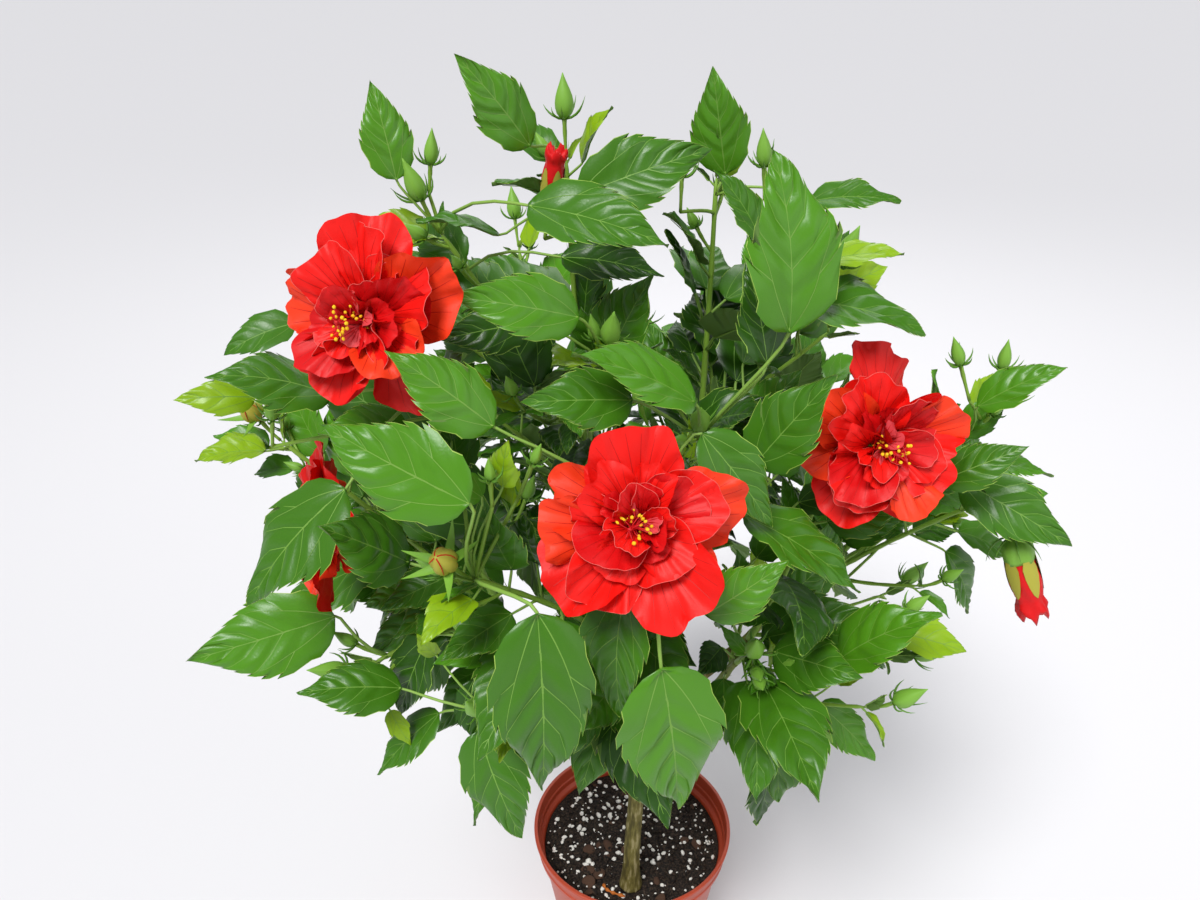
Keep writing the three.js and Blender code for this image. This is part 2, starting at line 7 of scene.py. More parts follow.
import bpy
import numpy as np
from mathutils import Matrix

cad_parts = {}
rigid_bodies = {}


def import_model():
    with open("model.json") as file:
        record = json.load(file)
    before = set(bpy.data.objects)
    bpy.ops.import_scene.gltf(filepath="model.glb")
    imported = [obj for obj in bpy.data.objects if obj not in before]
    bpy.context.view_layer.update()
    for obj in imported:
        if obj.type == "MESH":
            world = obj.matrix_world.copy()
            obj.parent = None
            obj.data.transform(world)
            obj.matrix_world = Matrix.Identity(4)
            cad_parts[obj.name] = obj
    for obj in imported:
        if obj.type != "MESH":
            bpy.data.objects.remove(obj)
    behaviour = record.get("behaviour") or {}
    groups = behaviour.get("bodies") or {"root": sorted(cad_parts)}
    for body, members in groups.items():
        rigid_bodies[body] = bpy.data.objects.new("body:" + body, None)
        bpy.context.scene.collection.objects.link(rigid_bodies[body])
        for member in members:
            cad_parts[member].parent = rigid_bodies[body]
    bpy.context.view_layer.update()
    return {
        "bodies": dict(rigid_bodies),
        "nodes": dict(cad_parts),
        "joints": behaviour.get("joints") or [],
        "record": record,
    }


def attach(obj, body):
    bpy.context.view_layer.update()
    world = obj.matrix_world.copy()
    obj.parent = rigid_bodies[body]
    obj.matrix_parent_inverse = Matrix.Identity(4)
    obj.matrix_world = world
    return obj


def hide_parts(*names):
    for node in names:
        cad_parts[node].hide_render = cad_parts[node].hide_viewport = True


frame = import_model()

mm = 0.001


def vec(x, y, z):
    return np.array((x, y, z), float)


up = vec(0, 0, 1)


def unit(v):
    return v / np.maximum(np.linalg.norm(v, axis=-1, keepdims=True), 1e-12)


def squared(v, axis):  # the part of a vector that is square to an axis, as a unit vector
    return unit(v - axis * (v @ axis))


def turned(v, axis, degrees):
    a = math.radians(degrees)
    return v * math.cos(a) + np.cross(axis, v) * math.sin(a) + axis * ((v @ axis) * (1 - math.cos(a)))


def around(axis, degrees):  # a unit vector square to an axis, this far round it
    start = squared(vec(1, 0, 0) if abs(axis[2]) > 0.9 else up, axis)
    return turned(start, axis, degrees)


def heading(azimuth, rise=0.0):
    a, r = math.radians(azimuth), math.radians(rise)
    return vec(math.cos(a) * math.cos(r), math.sin(a) * math.cos(r), math.sin(r))


def mix(a, b, share):
    return a + (b - a) * share


def seeded(seed):  # a stream of numbers from 0 to 1, the same on every run
    state = (seed * 2654435761) & 0xFFFFFFFF

    def draw():
        nonlocal state
        state = (state * 1664525 + 1013904223) & 0xFFFFFFFF
        return state / 4294967296

    return draw


class Bend:  # a Bezier curve of three or four points
    def __init__(self, *controls):
        self.controls = np.array(controls, float)

    def at(self, t):
        t = np.asarray(t, float)[..., None]
        n = len(self.controls) - 1
        return sum(math.comb(n, k) * t**k * (1 - t) ** (n - k) * c for k, c in enumerate(self.controls))

    def way(self, t):
        return unit(self.at(min(t + 1e-4, 1)) - self.at(max(t - 1e-4, 0)))

    def points(self, steps):
        return self.at(np.linspace(0, 1, steps + 1))

    def length(self):
        return float(np.linalg.norm(np.diff(self.points(200), axis=0), axis=1).sum())


def softNoise(points, size, seed):  # smooth noise from -1 to 1 with spots of the given size
    p = np.asarray(points, float) / size + seed * 17.3
    cell = np.floor(p).astype(np.int64)
    part = p - cell
    part = part * part * (3 - 2 * part)
    total = 0
    for corner in range(8):
        step = np.array((corner & 1, corner >> 1 & 1, corner >> 2 & 1))
        at = cell + step
        h = (at[..., 0] * 73856093) ^ (at[..., 1] * 19349663) ^ (at[..., 2] * 83492791)
        h = (h * 1103515245 + 12345) & 0x7FFFFFFF
        h = (h ^ (h >> 13)) * 69069 & 0x7FFFFFFF
        total = total + (h / 0x3FFFFFFF - 1) * np.where(step, part, 1 - part).prod(-1)
    return total


class Heap:  # points and faces that become one piece
    def __init__(self):
        self.points, self.faces, self.count = [], [], 0

    def add(self, points, *faceBlocks):
        points = np.asarray(points, float).reshape(-1, 3)
        self.faces += [np.asarray(block) + self.count for block in faceBlocks]
        self.points.append(points)
        self.count += len(points)

    def triangles(self):
        return sum(len(block) * (block.shape[1] - 2) for block in self.faces)


def gridFaces(rows, columns, loop=False):
    wide = columns if loop else columns - 1
    i, j = np.meshgrid(np.arange(rows - 1), np.arange(wide), indexing="ij")
    a, b = i * columns + j, i * columns + (j + 1) % columns
    return np.stack((a, b, b + columns, a + columns), -1).reshape(-1, 4)


def ringsFaces(rows, sides):  # a skin over rings, shut by a point before the first and one after the last
    body = gridFaces(rows, sides, loop=True)
    j = np.arange(sides)
    k = (j + 1) % sides
    low, high = rows * sides, rows * sides + 1
    last = (rows - 1) * sides
    foot = np.stack((np.full(sides, low), k, j), -1)
    head = np.stack((np.full(sides, high), last + j, last + k), -1)
    return body, np.concatenate((foot, head))


def frameAlong(centres):  # the way at each point of a line, and two unit vectors square to it
    ways = unit(np.gradient(centres, axis=0))
    sides = np.empty_like(ways)
    side = around(ways[0], 0)
    for i, way in enumerate(ways):
        side = squared(side, way)
        sides[i] = side
    return ways, sides, np.cross(ways, sides)


def addTube(heap, centres, radii, sides=6, lobes=None):
    centres = np.asarray(centres, float)
    radii = np.broadcast_to(np.asarray(radii, float), len(centres))
    _, one, other = frameAlong(centres)
    a = np.arange(sides) / sides * 2 * math.pi
    reach = radii[:, None] * (1 if lobes is None else lobes(a)[None, :])
    rings = centres[:, None] + reach[..., None] * (
        np.cos(a)[None, :, None] * one[:, None] + np.sin(a)[None, :, None] * other[:, None]
    )
    points = np.concatenate((rings.reshape(-1, 3), centres[:1], centres[-1:]))
    heap.add(points, *ringsFaces(len(centres), sides))


def makePiece(name, heap, finish, replaces):
    mesh = bpy.data.meshes.new(name)
    faces = [face for block in heap.faces for face in block.tolist()]
    mesh.from_pydata(np.concatenate(heap.points) * mm, [], faces)
    mesh.materials.append(finish)
    mesh.polygons.foreach_set("use_smooth", np.full(len(mesh.polygons), True))
    mesh.update()
    piece = bpy.data.objects.new(name, mesh)
    bpy.context.scene.collection.objects.link(piece)
    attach(piece, "root")
    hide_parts(*replaces)
    print(f"  {name}: {heap.triangles()} triangles")
    return piece


def linearColour(code):  # an sRGB hex colour as linear numbers
    parts = [int(code[i : i + 2], 16) / 255 for i in (1, 3, 5)]
    return tuple(c / 12.92 if c <= 0.04045 else ((c + 0.055) / 1.055) ** 2.4 for c in parts) + (1.0,)


def addNode(tree, kind, settings=(), links=()):
    node = tree.nodes.new("ShaderNode" + kind)
    for key, value in dict(settings).items():
        if isinstance(key, int) or key in node.inputs:
            node.inputs[key].default_value = value
        else:
            setattr(node, key, value)
    for key, socket in dict(links).items():
        tree.links.new(socket, node.inputs[key])
    return node


def newMaterial(name, settings):
    material = bpy.data.materials.new(name)
    material.use_nodes = True
    tree = material.node_tree
    tree.nodes.clear()
    shader = addNode(tree, "BsdfPrincipled", settings)
    addNode(tree, "OutputMaterial", links={"Surface": shader.outputs["BSDF"]})
    place = addNode(tree, "TexCoord").outputs["Object"]
    return material, tree, shader, place


def addGrain(tree, shader, place, size, depth, strength=1.0, kind="TexNoise", detail=3.0):
    # a bump with grains of the given size and depth in millimetres
    links = {"Vector": place}
    settings = {"Scale": 1 / (size * mm)}
    if kind == "TexNoise":
        settings["Detail"] = detail
    else:
        settings["feature"] = "DISTANCE_TO_EDGE"
    grain = addNode(tree, kind, settings, links)
    height = grain.outputs["Factor" if "Factor" in grain.outputs else 0]
    bump = addNode(tree, "Bump", {"Strength": strength, "Distance": depth * mm}, {"Height": height})
    tree.links.new(bump.outputs["Normal"], shader.inputs["Normal"])
    return height


# Living leaf: cells under a wax cuticle, so a soft broad shine over a net of veinlets about 2 mm wide.
leafFinish = {
    # tints: young leaves are yellow-green and older ones a deeper green; the darkest tint is also painted
    # shade for leaves deep in the crown, and the brightest is painted light for leaves at its lit front and
    # top
    "tints": {"ShadedDeep": "#28500c", "Mid": "#3d7012", "Bright": "#4b8415", "Young": "#84a914"},
    "underside": "#5f8238",
    "vein": "#6b9638",
    "edge": "#93b548",
    "roughness": 0.33,
    "underRoughness": 0.6,
    "waxIor": 1.4,
    "veinlet": 2.2,
    "veinletDepth": 0.12,
    "down": 0.8,
    "downDepth": 0.05,
    # the light that gets through a thin blade
    "glow": {
        "Subsurface Weight": 0.08,
        "Subsurface Radius": (0.001, 0.002, 0.0005),
        "Subsurface Scale": 0.6,
    },
}


def leafMaterial(name, code, under=False):
    settings = {
        "Base Color": linearColour(code),
        "Roughness": leafFinish["underRoughness" if under else "roughness"],
        "IOR": leafFinish["waxIor"],
    }
    material, tree, shader, place = newMaterial(name, settings | leafFinish["glow"])
    if under:  # a fine down, and no wax
        addGrain(tree, shader, place, leafFinish["down"], leafFinish["downDepth"], 0.4)
    else:
        addGrain(tree, shader, place, leafFinish["veinlet"], leafFinish["veinletDepth"], 0.5, "TexVoronoi")
    return material


# Petal: thin, soft and full of pigment. The skin's cells give a velvet look with hardly any shine.
petalFinish = {
    "scarlet": "#e6120a",
    "crimson": "#d00a0e",
    # an orange-red, partly the petals' own orange tone and partly painted light shining through a thin petal
    "flame": "#ea3814",
    "blush": "#d8464c",
    "rim": "#ea5f58",
    # the dark red of the lines that are painted shade of the petals' wrinkles and creases
    "vein": "#b80906",
    "roughness": 0.5,
    "cell": 0.9,
    "cellDepth": 0.16,
    "ior": 1.36,
}


def plainMaterial(name, code, roughness, ior, grain, depth, strength):
    settings = {"Base Color": linearColour(code), "Roughness": roughness, "IOR": ior}
    material, tree, shader, place = newMaterial(name, settings)
    addGrain(tree, shader, place, grain, depth, strength)
    return material


def petalMaterial(name, code):
    values = (petalFinish[key] for key in ("roughness", "ior", "cell", "cellDepth"))
    return plainMaterial(name, code, *values, 0.5)


colourSpread = (0.35, 0.65)  # the part of a noise's range that the colours are spread over


def spreadColours(tree, height, shader, codes):
    ramp = addNode(tree, "ValToRGB", links={"Fac": height})
    band = ramp.color_ramp
    while len(band.elements) < len(codes):
        band.elements.new(0.5)
    for i, (element, code) in enumerate(zip(band.elements, codes)):
        element.position = mix(*colourSpread, i / (len(codes) - 1))
        element.color = linearColour(code)
    tree.links.new(ramp.outputs["Color"], shader.inputs["Base Color"])


# Thin bark of a young stem: corky, dull, olive where it is green beneath, streaked along the stem.
barkFinish = {"codes": ["#4a441c", "#5e5625", "#726a34", "#958b60"], "streak": 3.0, "roughness": 0.82}


def barkMaterial():
    material, tree, shader, place = newMaterial(
        "thinYoungBark", {"Roughness": barkFinish["roughness"], "IOR": 1.45}
    )
    size = barkFinish["streak"] * mm
    stretch = addNode(tree, "Mapping", {"Scale": (1 / size, 1 / size, 0.22 / size)}, {"Vector": place})
    streaks = addNode(tree, "TexNoise", {"Scale": 1.0, "Detail": 4.0}, {"Vector": stretch.outputs[0]})
    height = streaks.outputs["Factor" if "Factor" in streaks.outputs else 0]
    spreadColours(tree, height, shader, barkFinish["codes"])
    bump = addNode(tree, "Bump", {"Strength": 0.7, "Distance": 0.4 * mm}, {"Height": height})
    tree.links.new(bump.outputs["Normal"], shader.inputs["Normal"])
    return material


# Damp peat: nearly black, dull, with the fibres and crumbs a little paler than the mass.
soilFinish = {"codes": ["#0e0a08", "#1b1410", "#2c2119", "#43352a"], "fibre": 1.6}


def peatMaterial():
    material, tree, shader, place = newMaterial("dampPeat", {"Roughness": 0.85, "IOR": 1.4})
    height = addGrain(tree, shader, place, soilFinish["fibre"], 0.6, 1.0, detail=6.0)
    spreadColours(tree, height, shader, soilFinish["codes"])
    return material


# What needs no pattern of its own: colour, roughness, IOR, and the size, depth and strength of its grain.
plainFinishes = {
    # Injection-moulded polypropylene, coloured through: satin, with the faint orange peel of the mould.
    "pot": ("mouldedPolypropylene", "#ae3f22", 0.42, 1.49, 1.4, 0.03, 0.4),
    # Volcanic glass puffed by heat: white, dull and pitted.
    "perlite": ("expandedPerlite", "#ece9e2", 0.9, 1.5, 0.6, 0.3, 0.8),
    # Composted bark: brown, dull and fibrous.
    "chips": ("compostedBark", "#4a3325", 0.9, 1.45, 0.8, 0.3, 0.8),
    # A shrivelled leaf: tan and papery, with a weak shine.
    "curl": ("driedLeafCurl", "#b8641c", 0.6, 1.45, 0.8, 0.2, 0.6),
    # A shoot that turns to wood: olive, and duller than a young one.
    "woody": ("halfRipeShoot", "#6f7c2e", 0.6, 1.45, 1.2, 0.15, 0.7),
    # A young shoot: tight moist skin with a soft shine.
    "green": ("greenShoot", "#7da336", 0.5, 1.45, 0.8, 0.08, 0.6),
    # A leaf's stalk: like the young shoot, paler and smoother.
    "petiole": ("leafStalk", "#86ac48", 0.5, 1.45, 0.6, 0.05, 0.5),
    # A stipule: a thin dull thread of leaf.
    "stipule": ("stipule", "#7f9a3a", 0.6, 1.45, 0.6, 0.05, 0.5),
    # A calyx: firm pale green cup with a fine down.
    "calyx": ("calyx", "#76a838", 0.5, 1.45, 0.7, 0.06, 0.6),
    # A bract: the same, darker.
    "bract": ("bract", "#5f8f2c", 0.5, 1.45, 0.7, 0.06, 0.6),
    # A petal that is still rolled up: silky and yellow, since it has had no light.
    "budPetal": ("foldedPetal", "#a5a038", 0.55, 1.4, 0.6, 0.06, 0.6),
    # The column in a bloom's heart: the petals' red in a smooth fleshy tube.
    "column": ("stamenColumn", "#c8141c", 0.5, 1.4, 0.5, 0.05, 0.5),
    # Ripe pollen: bright yellow powder without any shine.
    "anther": ("pollenAnther", "#f2c31c", 0.8, 1.4, 0.3, 0.1, 0.8),
    # A blade's rim and its veins: paler than the blade, since they hold fewer green cells.
    "edge": ("leafEdge", leafFinish["edge"], 0.5, 1.45, 0.6, 0.05, 0.4),
    "vein": ("leafVein", leafFinish["vein"], 0.5, 1.45, 0.6, 0.05, 0.4),
}
finishes = {key: plainMaterial(*values) for key, values in plainFinishes.items()}
finishes["peat"] = peatMaterial()
finishes["bark"] = barkMaterial()
finishes["underside"] = leafMaterial("leafUnderside", leafFinish["underside"], under=True)
for tint, code in leafFinish["tints"].items():
    finishes["leaf" + tint] = leafMaterial("leafBlade" + tint, code)
for shade in ("scarlet", "crimson", "flame", "blush", "rim"):
    finishes[shade] = petalMaterial("petal" + shade.capitalize(), petalFinish[shade])
finishes["petalCreaseShade"] = petalMaterial("petalCreaseShade", petalFinish["vein"])
print("materials made")

camera = {"place": (-27, -562, 800), "down": 28, "lens": 28.5, "sensor": 36}


def makeCamera():
    data = bpy.data.cameras.new("camera")
    data.lens, data.sensor_width = camera["lens"], camera["sensor"]
    data.clip_start = 0.01
    eye = bpy.data.objects.new("camera", data)
    bpy.context.scene.collection.objects.link(eye)
    eye.location = [c * mm for c in camera["place"]]
    eye.rotation_euler = (math.radians(90 - camera["down"]), 0, 0)
    bpy.context.scene.camera = eye


# A wide soft sun from the front left above, with two big soft boxes that open the shadows.
sun = {"azimuth": -118, "rise": 54, "spread": 24, "strength": 3.2}
lights = {
    "fill": {"place": (1500, -1100, 1300), "size": 1600, "power": 9},
    "back": {"place": (300, 1500, 1900), "size": 1500, "power": 14},
}
room = {
    "sky": "#eceef4",
    "strength": 0.38,
    "floor": "#dbdadc",
    "floorSize": 90000,
    "floorDrop": 0.5,
    "aim": 450,  # height that the soft boxes are turned to
}


def makeRoom():
    scene = bpy.context.scene
    for name, light in lights.items():
        data = bpy.data.lights.new(name, "AREA")
        data.size, data.energy = light["size"] * mm, light["power"]
        lamp = bpy.data.objects.new(name, data)
        scene.collection.objects.link(lamp)
        place = np.array(light["place"]) * mm
        lamp.location = place
        target = vec(0, 0, room["aim"]) * mm - place
        yaw = math.atan2(target[1], target[0])
        pitch = math.atan2(math.hypot(target[0], target[1]), -target[2])
        lamp.rotation_euler = (pitch, 0, yaw - math.pi / 2)
    data = bpy.data.lights.new("sun", "SUN")
    data.energy, data.angle = sun["strength"], math.radians(sun["spread"])
    lamp = bpy.data.objects.new("sun", data)
    scene.collection.objects.link(lamp)
    lamp.rotation_euler = (math.radians(90 - sun["rise"]), 0, math.radians(sun["azimuth"] + 90))
    world = bpy.data.worlds.new("room")
    scene.world = world
    world.use_nodes = True
    sky = world.node_tree.nodes["Background"]
    sky.inputs["Color"].default_value = linearColour(room["sky"])
    sky.inputs["Strength"].default_value = room["strength"]
    half = room["floorSize"] / 2
    corners = [vec(x * half, y * half, -room["floorDrop"]) for x, y in ((-1, -1), (1, -1), (1, 1), (-1, 1))]
    mesh = bpy.data.meshes.new("floor")
    mesh.from_pydata(np.array(corners) * mm, [], [(0, 1, 2, 3)])
    mesh.materials.append(plainMaterial("paintedFloor", room["floor"], 0.6, 1.5, 2.0, 0.02, 0.2))
    piece = bpy.data.objects.new("floor", mesh)
    scene.collection.objects.link(piece)


makeCamera()
makeRoom()
print("camera, floor and light set")

# From here the rule that the crown grows by, with the same named values as in its solids.

trunk = {
    "foot": vec(-2, -44, 125.3),
    "head": vec(2, -30, 322),
    "bends": [vec(-3, -47, 192), vec(6, -38, 262)],
    "footRadius": 9.5,
    "lowRadius": 6.3,
    "highRadius": 5.5,
    "headRadius": 8.2,
}
bough = {"rootRadius": 4.6, "tipRadius": 3.5, "rootHeights": (296, 316)}
twig = {
    "rootRadius": 3,
    "forkRadius": 1.9,
    "sideRadius": 1.3,
    "tipRadius": 1.3,
    "spacing": 100,
    "attempts": 6,
    "gap": 0.3,
}
leaf = {
    "length": 86,
    "widthShare": 0.64,
    "petiole": 30,
    "internode": 20,
    "attempts": 6,
    "clearOfLimbs": 7,
    "clearOfMasses": 2,
    "clearOfLeaves": 28,
    "spread": 28,  # angle to the shoot of the youngest leaf
    "spreadByAge": 48,
    "spreadVaries": 14,
    "roll": 44,
    "arch": 14,
    "archVaries": 34,
    "outline": [(0.2, 0.96), (0.6, 0.8)],
}
buds = {
    "bud": {"length": 24, "radius": 5, "stalk": 16, "drop": -0.3},
    "opening": {"length": 36, "radius": 7, "stalk": 14, "drop": -0.3},
    "hanging": {"length": 54, "radius": 11, "stalk": 30, "drop": 1.2},
}
bloom = {
    "stalk": 34,
    "cupLength": 20,
    "clearance": 56,
    "clearDepth": (-6, 85),
    "rings": [
        {"petals": 5, "length": 50, "width": 42, "open": 72, "rise": 0, "turn": 0, "arch": 22, "roll": 16},
        {"petals": 4, "length": 38, "width": 34, "open": 48, "rise": 4, "turn": 36, "arch": 34, "roll": 18},
        {"petals": 3, "length": 27, "width": 22, "open": 22, "rise": 9, "turn": 10, "arch": 44, "roll": 24},
    ],
}
goldenAngle = 137.5  # the turn from each leaf to the next
crown = {"heart": vec(2, -30, 500), "window": vec(0, -0.3, 0), "low": 330, "high": 740}


def boughRow(name, azimuth, rise, length, *tips):
    keys = ("azimuth", "reach", "height", "ends", "face")
    tips = [dict(zip(keys, tip + ("bud", None)[len(tip) - 3 :])) for tip in tips]
    return {"name": name, "azimuth": azimuth, "rise": rise, "length": length, "tips": tips}


boughs = [
    boughRow("front", -104, 54, 84, (-94, 128, 545, "bloom", (-93, 30)), (-122, 172, 522), (-90, 124, 446)),
    boughRow(
        "left_front", -148, 44, 84,
        (-150, 146, 632, "bloom", (-106, 18)), (-161, 158, 490, "bloom", (-166, 10)), (-148, 190, 430),
    ),
    boughRow("left", 178, 40, 84, (179, 232, 522), (168, 214, 438)),
    boughRow("top_left", 160, 74, 100, (158, 52, 694), (-174, 118, 660), (-115, 62, 600)),
    boughRow("top_right", 4, 76, 100, (34, 46, 682), (-22, 98, 632), (-70, 74, 562)),
    boughRow(
        "right_front", -52, 46, 84, (-28, 122, 556, "bloom", (-80, 22)), (-66, 134, 452), (-30, 166, 420)
    ),
    boughRow("right", 6, 40, 84, (3, 216, 530), (-10, 206, 500, "hanging"), (14, 214, 436)),
    boughRow("back_right", 62, 46, 84, (56, 192, 592), (88, 226, 496), (44, 236, 448)),
    boughRow("back_left", 122, 46, 84, (118, 192, 600), (124, 236, 448)),
]


def crownPoint(tip):
    point = heading(tip["azimuth"]) * tip["reach"]
    return point + vec(trunk["head"][0], trunk["head"][1], tip["height"])


trunkCurve = Bend(trunk["foot"], *trunk["bends"], trunk["head"])


def boughCurve(row, index):
    low, high = bough["rootHeights"]
    height = mix(low, high, min(max((row["rise"] - 40) / 36, 0), 1)) - (index % 2) * 5
    root = vec(trunk["head"][0], trunk["head"][1] - 1, height) + heading(row["azimuth"]) * 3
    middle = root + heading(row["azimuth"], row["rise"] - 9) * row["length"] / 2
    return Bend(root, middle, root + heading(row["azimuth"], row["rise"]) * row["length"])


def segments(lines):  # the pieces of some polylines, as starts and ends
    return np.concatenate([line[:-1] for line in lines]), np.concatenate([line[1:] for line in lines])


def makeMasses():
    masses = []
    for number, row in enumerate(boughs):
        curve = boughCurve(row, number)
        way = curve.way(1)
        shoots = []
        for i, tip in enumerate(row["tips"]):
            target = crownPoint(tip)
            t = 0.1 + 0.1 * i
            root = shoots[0].at(t) if i else curve.at(1) + way * twig["gap"]
            start = shoots[0].way(t) if i else way
            bend = root + start * np.linalg.norm(root - target) * 0.36
            shoots.append(Bend(root, bend, target))
        lines = segments([shoot.points(8) for shoot in shoots])
        mass = {"name": row["name"], "seed": number + 1, "tips": row["tips"]}
        masses.append(mass | {"shoots": shoots, "lines": lines})
    return masses


masses = makeMasses()
hardLimbs = segments([trunkCurve.points(12)] + [boughCurve(row, i).points(6) for i, row in enumerate(boughs)])
blooms = []
for tip in (tip for row in boughs for tip in row["tips"] if tip["ends"] == "bloom"):
    axis = heading(*tip["face"])
    blooms.append({"tip": tip, "axis": axis, "centre": crownPoint(tip) + axis * bloom["stalk"]})


def distances(points, lines):  # from each point to the nearest of some segments
    starts, ends = lines
    along = ends - starts
    away = points[:, None] - starts[None]
    t = np.clip((away * along).sum(-1) / (along * along).sum(-1), 0, 1)
    return np.linalg.norm(away - t[..., None] * along, axis=-1).min(1)


def inOwnSpace(points, mass):
    if distances(points, hardLimbs).min() < leaf["clearOfLimbs"]:
        return False
    own = distances(points, mass["lines"]) + 2 * leaf["clearOfMasses"]
    return all(other is mass or (distances(points, other["lines"]) > own).all() for other in masses)


def inFrontOfBloom(points):
    near, far = bloom["clearDepth"]
    for one in blooms:
        away = points - one["centre"]
        along = away @ one["axis"]
        radial = np.linalg.norm(away - along[:, None] * one["axis"], axis=1)
        if ((along > near) & (along < far) & (radial < bloom["clearance"])).any():
            return True
    return False


def leafFrame(spot, attempt, random):
    shoot, root, age = spot["shoot"], spot["root"], spot["age"]
    away = around(shoot, spot["turn"] + 37 * attempt)
    outward = squared(root - crown["heart"], up)
    height = min(max((root[2] - crown["low"]) / (crown["high"] - crown["low"]), 0), 1)
    stalkWay = unit(shoot * 0.5 + away * 0.85 + up * 0.2)
    stalk = leaf["petiole"] * (0.45 + 0.55 * age) * (0.8 + 0.4 * random())
    spread = leaf["spread"] + leaf["spreadByAge"] * age + leaf["spreadVaries"] * (random() - 0.5)
    spread = math.radians(spread)
    direction = shoot * math.cos(spread) + away * math.sin(spread) + outward * 0.25
    direction = unit(direction - up * (0.05 + 0.3 * age + 0.35 * (1 - height) * age))
    light = up * 0.75 + outward * 0.45 + crown["window"]
    face = turned(squared(light, direction), direction, leaf["roll"] * (random() - 0.5))
    return {
        "foot": root,
        "root": root + stalkWay * stalk,
        "stalkWay": stalkWay,
        "direction": direction,
        "face": face,
        "length": leaf["length"] * spot["size"] * (1 - 0.07 * attempt),
        "arch": leaf["arch"] + leaf["archVaries"] * random(),
        "age": age,
        "size": spot["size"],
        "shoot": shoot,
    }


def sheetOf(frame):  # a leaf as eight triangles, with the lines and points that its fit is tested on
    side = unit(np.cross(frame["direction"], frame["face"]))
    width = frame["length"] * leaf["widthShare"]
    centre, before, rows = frame["root"], 0, []
    for share, widthShare in leaf["outline"] + [(1, 0)]:
        way = turned(frame["direction"], side, -frame["arch"] * (before + share) / 2)
        centre = centre + way * (share - before) * frame["length"]
        before = share
        out = side * width * widthShare / 2
        rows.append((centre + out, centre, centre - out))
    tip = rows.pop()[1]
    root = frame["root"]
    (a, b, c), (d, e, f) = rows
    triangles = []
    for one, two in ((a, d), (c, f)):
        triangles += [(root, one, b), (one, two, e), (one, e, b), (two, tip, e)]
    lines = [(frame["foot"], root)]
    for one, two in ((a, d), (b, e), (c, f)):
        lines += [(root, one), (one, two), (two, tip)]
    lines += [(a, b), (b, c), (d, e), (e, f)]
    lines = np.array(lines)
    points = np.concatenate((lines.mean(1), lines[:, 1]))
    return {"triangles": np.array(triangles), "lines": lines, "points": points, "middle": e}


def pierces(lines, triangles):  # whether any line passes through any triangle
    a, b = lines[:, None, 0], lines[:, None, 1]
    p, u, v = triangles[None, :, 0], triangles[:, 1] - triangles[:, 0], triangles[:, 2] - triangles[:, 0]
    u, v, way = u[None], v[None], b - a
    h = np.cross(way, v)
    det = (u * h).sum(-1)
    det = np.where(np.abs(det) < 1e-9, np.nan, det)
    s = a - p
    k = np.cross(s, u)
    with np.errstate(invalid="ignore"):
        x, y, t = (s * h).sum(-1) / det, (way * k).sum(-1) / det, (v * k).sum(-1) / det
        return bool(((x > 0) & (y > 0) & (x + y < 1) & (t > 0) & (t < 1)).any())


def fittingLeaf(mass, spot, twigs, kept, random, coarse=True):
    room = leaf["clearOfLeaves"] * spot["size"]
    for attempt in range(leaf["attempts"]):
        frame = leafFrame(spot, attempt, random)
        sheet = sheetOf(frame)
        gaps = [np.linalg.norm(other["middle"] - sheet["middle"]) for other in kept]
        if gaps and min(gaps) < room:
            continue
        if inFrontOfBloom(sheet["points"]) or not inOwnSpace(sheet["points"], mass):
            continue
        if not coarse and inHollow(sheet["middle"]):
            continue
        near = [other for other, gap in zip(kept, gaps) if gap <= 1.3 * leaf["length"]]
        if near:
            if pierces(sheet["lines"], np.concatenate([other["triangles"] for other in near])):
                continue
            if pierces(np.concatenate([other["lines"] for other in near]), sheet["triangles"]):
                continue
        if pierces(twigs, sheet["triangles"]):
            continue
        kept.append(sheet)
        return frame
    return None


def leavesOn(mass, shoot, number, twigs, kept):
    start = 0.1 if number == 0 else 0.2
    steps = max(2, math.floor(shoot.length() * (1 - start) / leaf["internode"] + 0.5))
    turn = 360 * seeded(mass["seed"] * 31 + number)()
    frames = []
    for i in range(steps + 1):
        random = seeded(mass["seed"] * 9973 + number * 61 + i)
        t = start + (0.97 - start) * (i / steps)
        age = 1 - i / steps
        spot = {
            "root": shoot.at(t),
            "shoot": shoot.way(t),
            "turn": turn + goldenAngle * i,
            "age": age,
            "size": (0.42 + 0.58 * min(1, 3.2 * age)) * (0.88 + 0.24 * random()),
        }
        frame = fittingLeaf(mass, spot, twigs, kept, random)
        if frame:
            frames.append(frame)
    return frames


def sideShoots(mass, main, number):
    shoots = []
    length = main.length()
    count = math.floor(length / twig["spacing"] + 0.5)
    for i in range(count):
        t = 0.16 + 0.56 * i / count
        root, way = main.at(t), main.way(t)
        random = seeded(mass["seed"] * 613 + number * 17 + i)
        for attempt in range(twig["attempts"]):
            away = around(way, goldenAngle * i + 360 * random())
            reach = length * (0.5 - 0.3 * t - 0.04 * attempt) * (0.85 + 0.3 * random())
            aim = unit(way * 0.6 + away * 0.8 + up * 0.1)
            curve = Bend(root, root + away * reach * 0.34 + way * reach * 0.2, root + aim * reach)
            points = curve.at(np.array((0.4, 0.7, 1)))
            if inOwnSpace(points, mass) and not inFrontOfBloom(points):
                shoots.append(curve)
                break
    return shoots


def pieceLines(shoots):
    return np.concatenate([np.stack((p[:-1], p[1:]), 1) for p in (shoot.points(5) for shoot in shoots)])


# The finer growth: short shoots from the sides of the others, and leaves in the gaps that are left.
finer = {
    "spacing": 66,
    "attempts": 8,
    "reach": (26, 58),
    "leafSizes": (0.5, 0.95),
    "internode": 20,
    "openAbove": 570,  # height over which only some of the gaps are filled
    "open": 0.75,
    "footReach": 3,
}


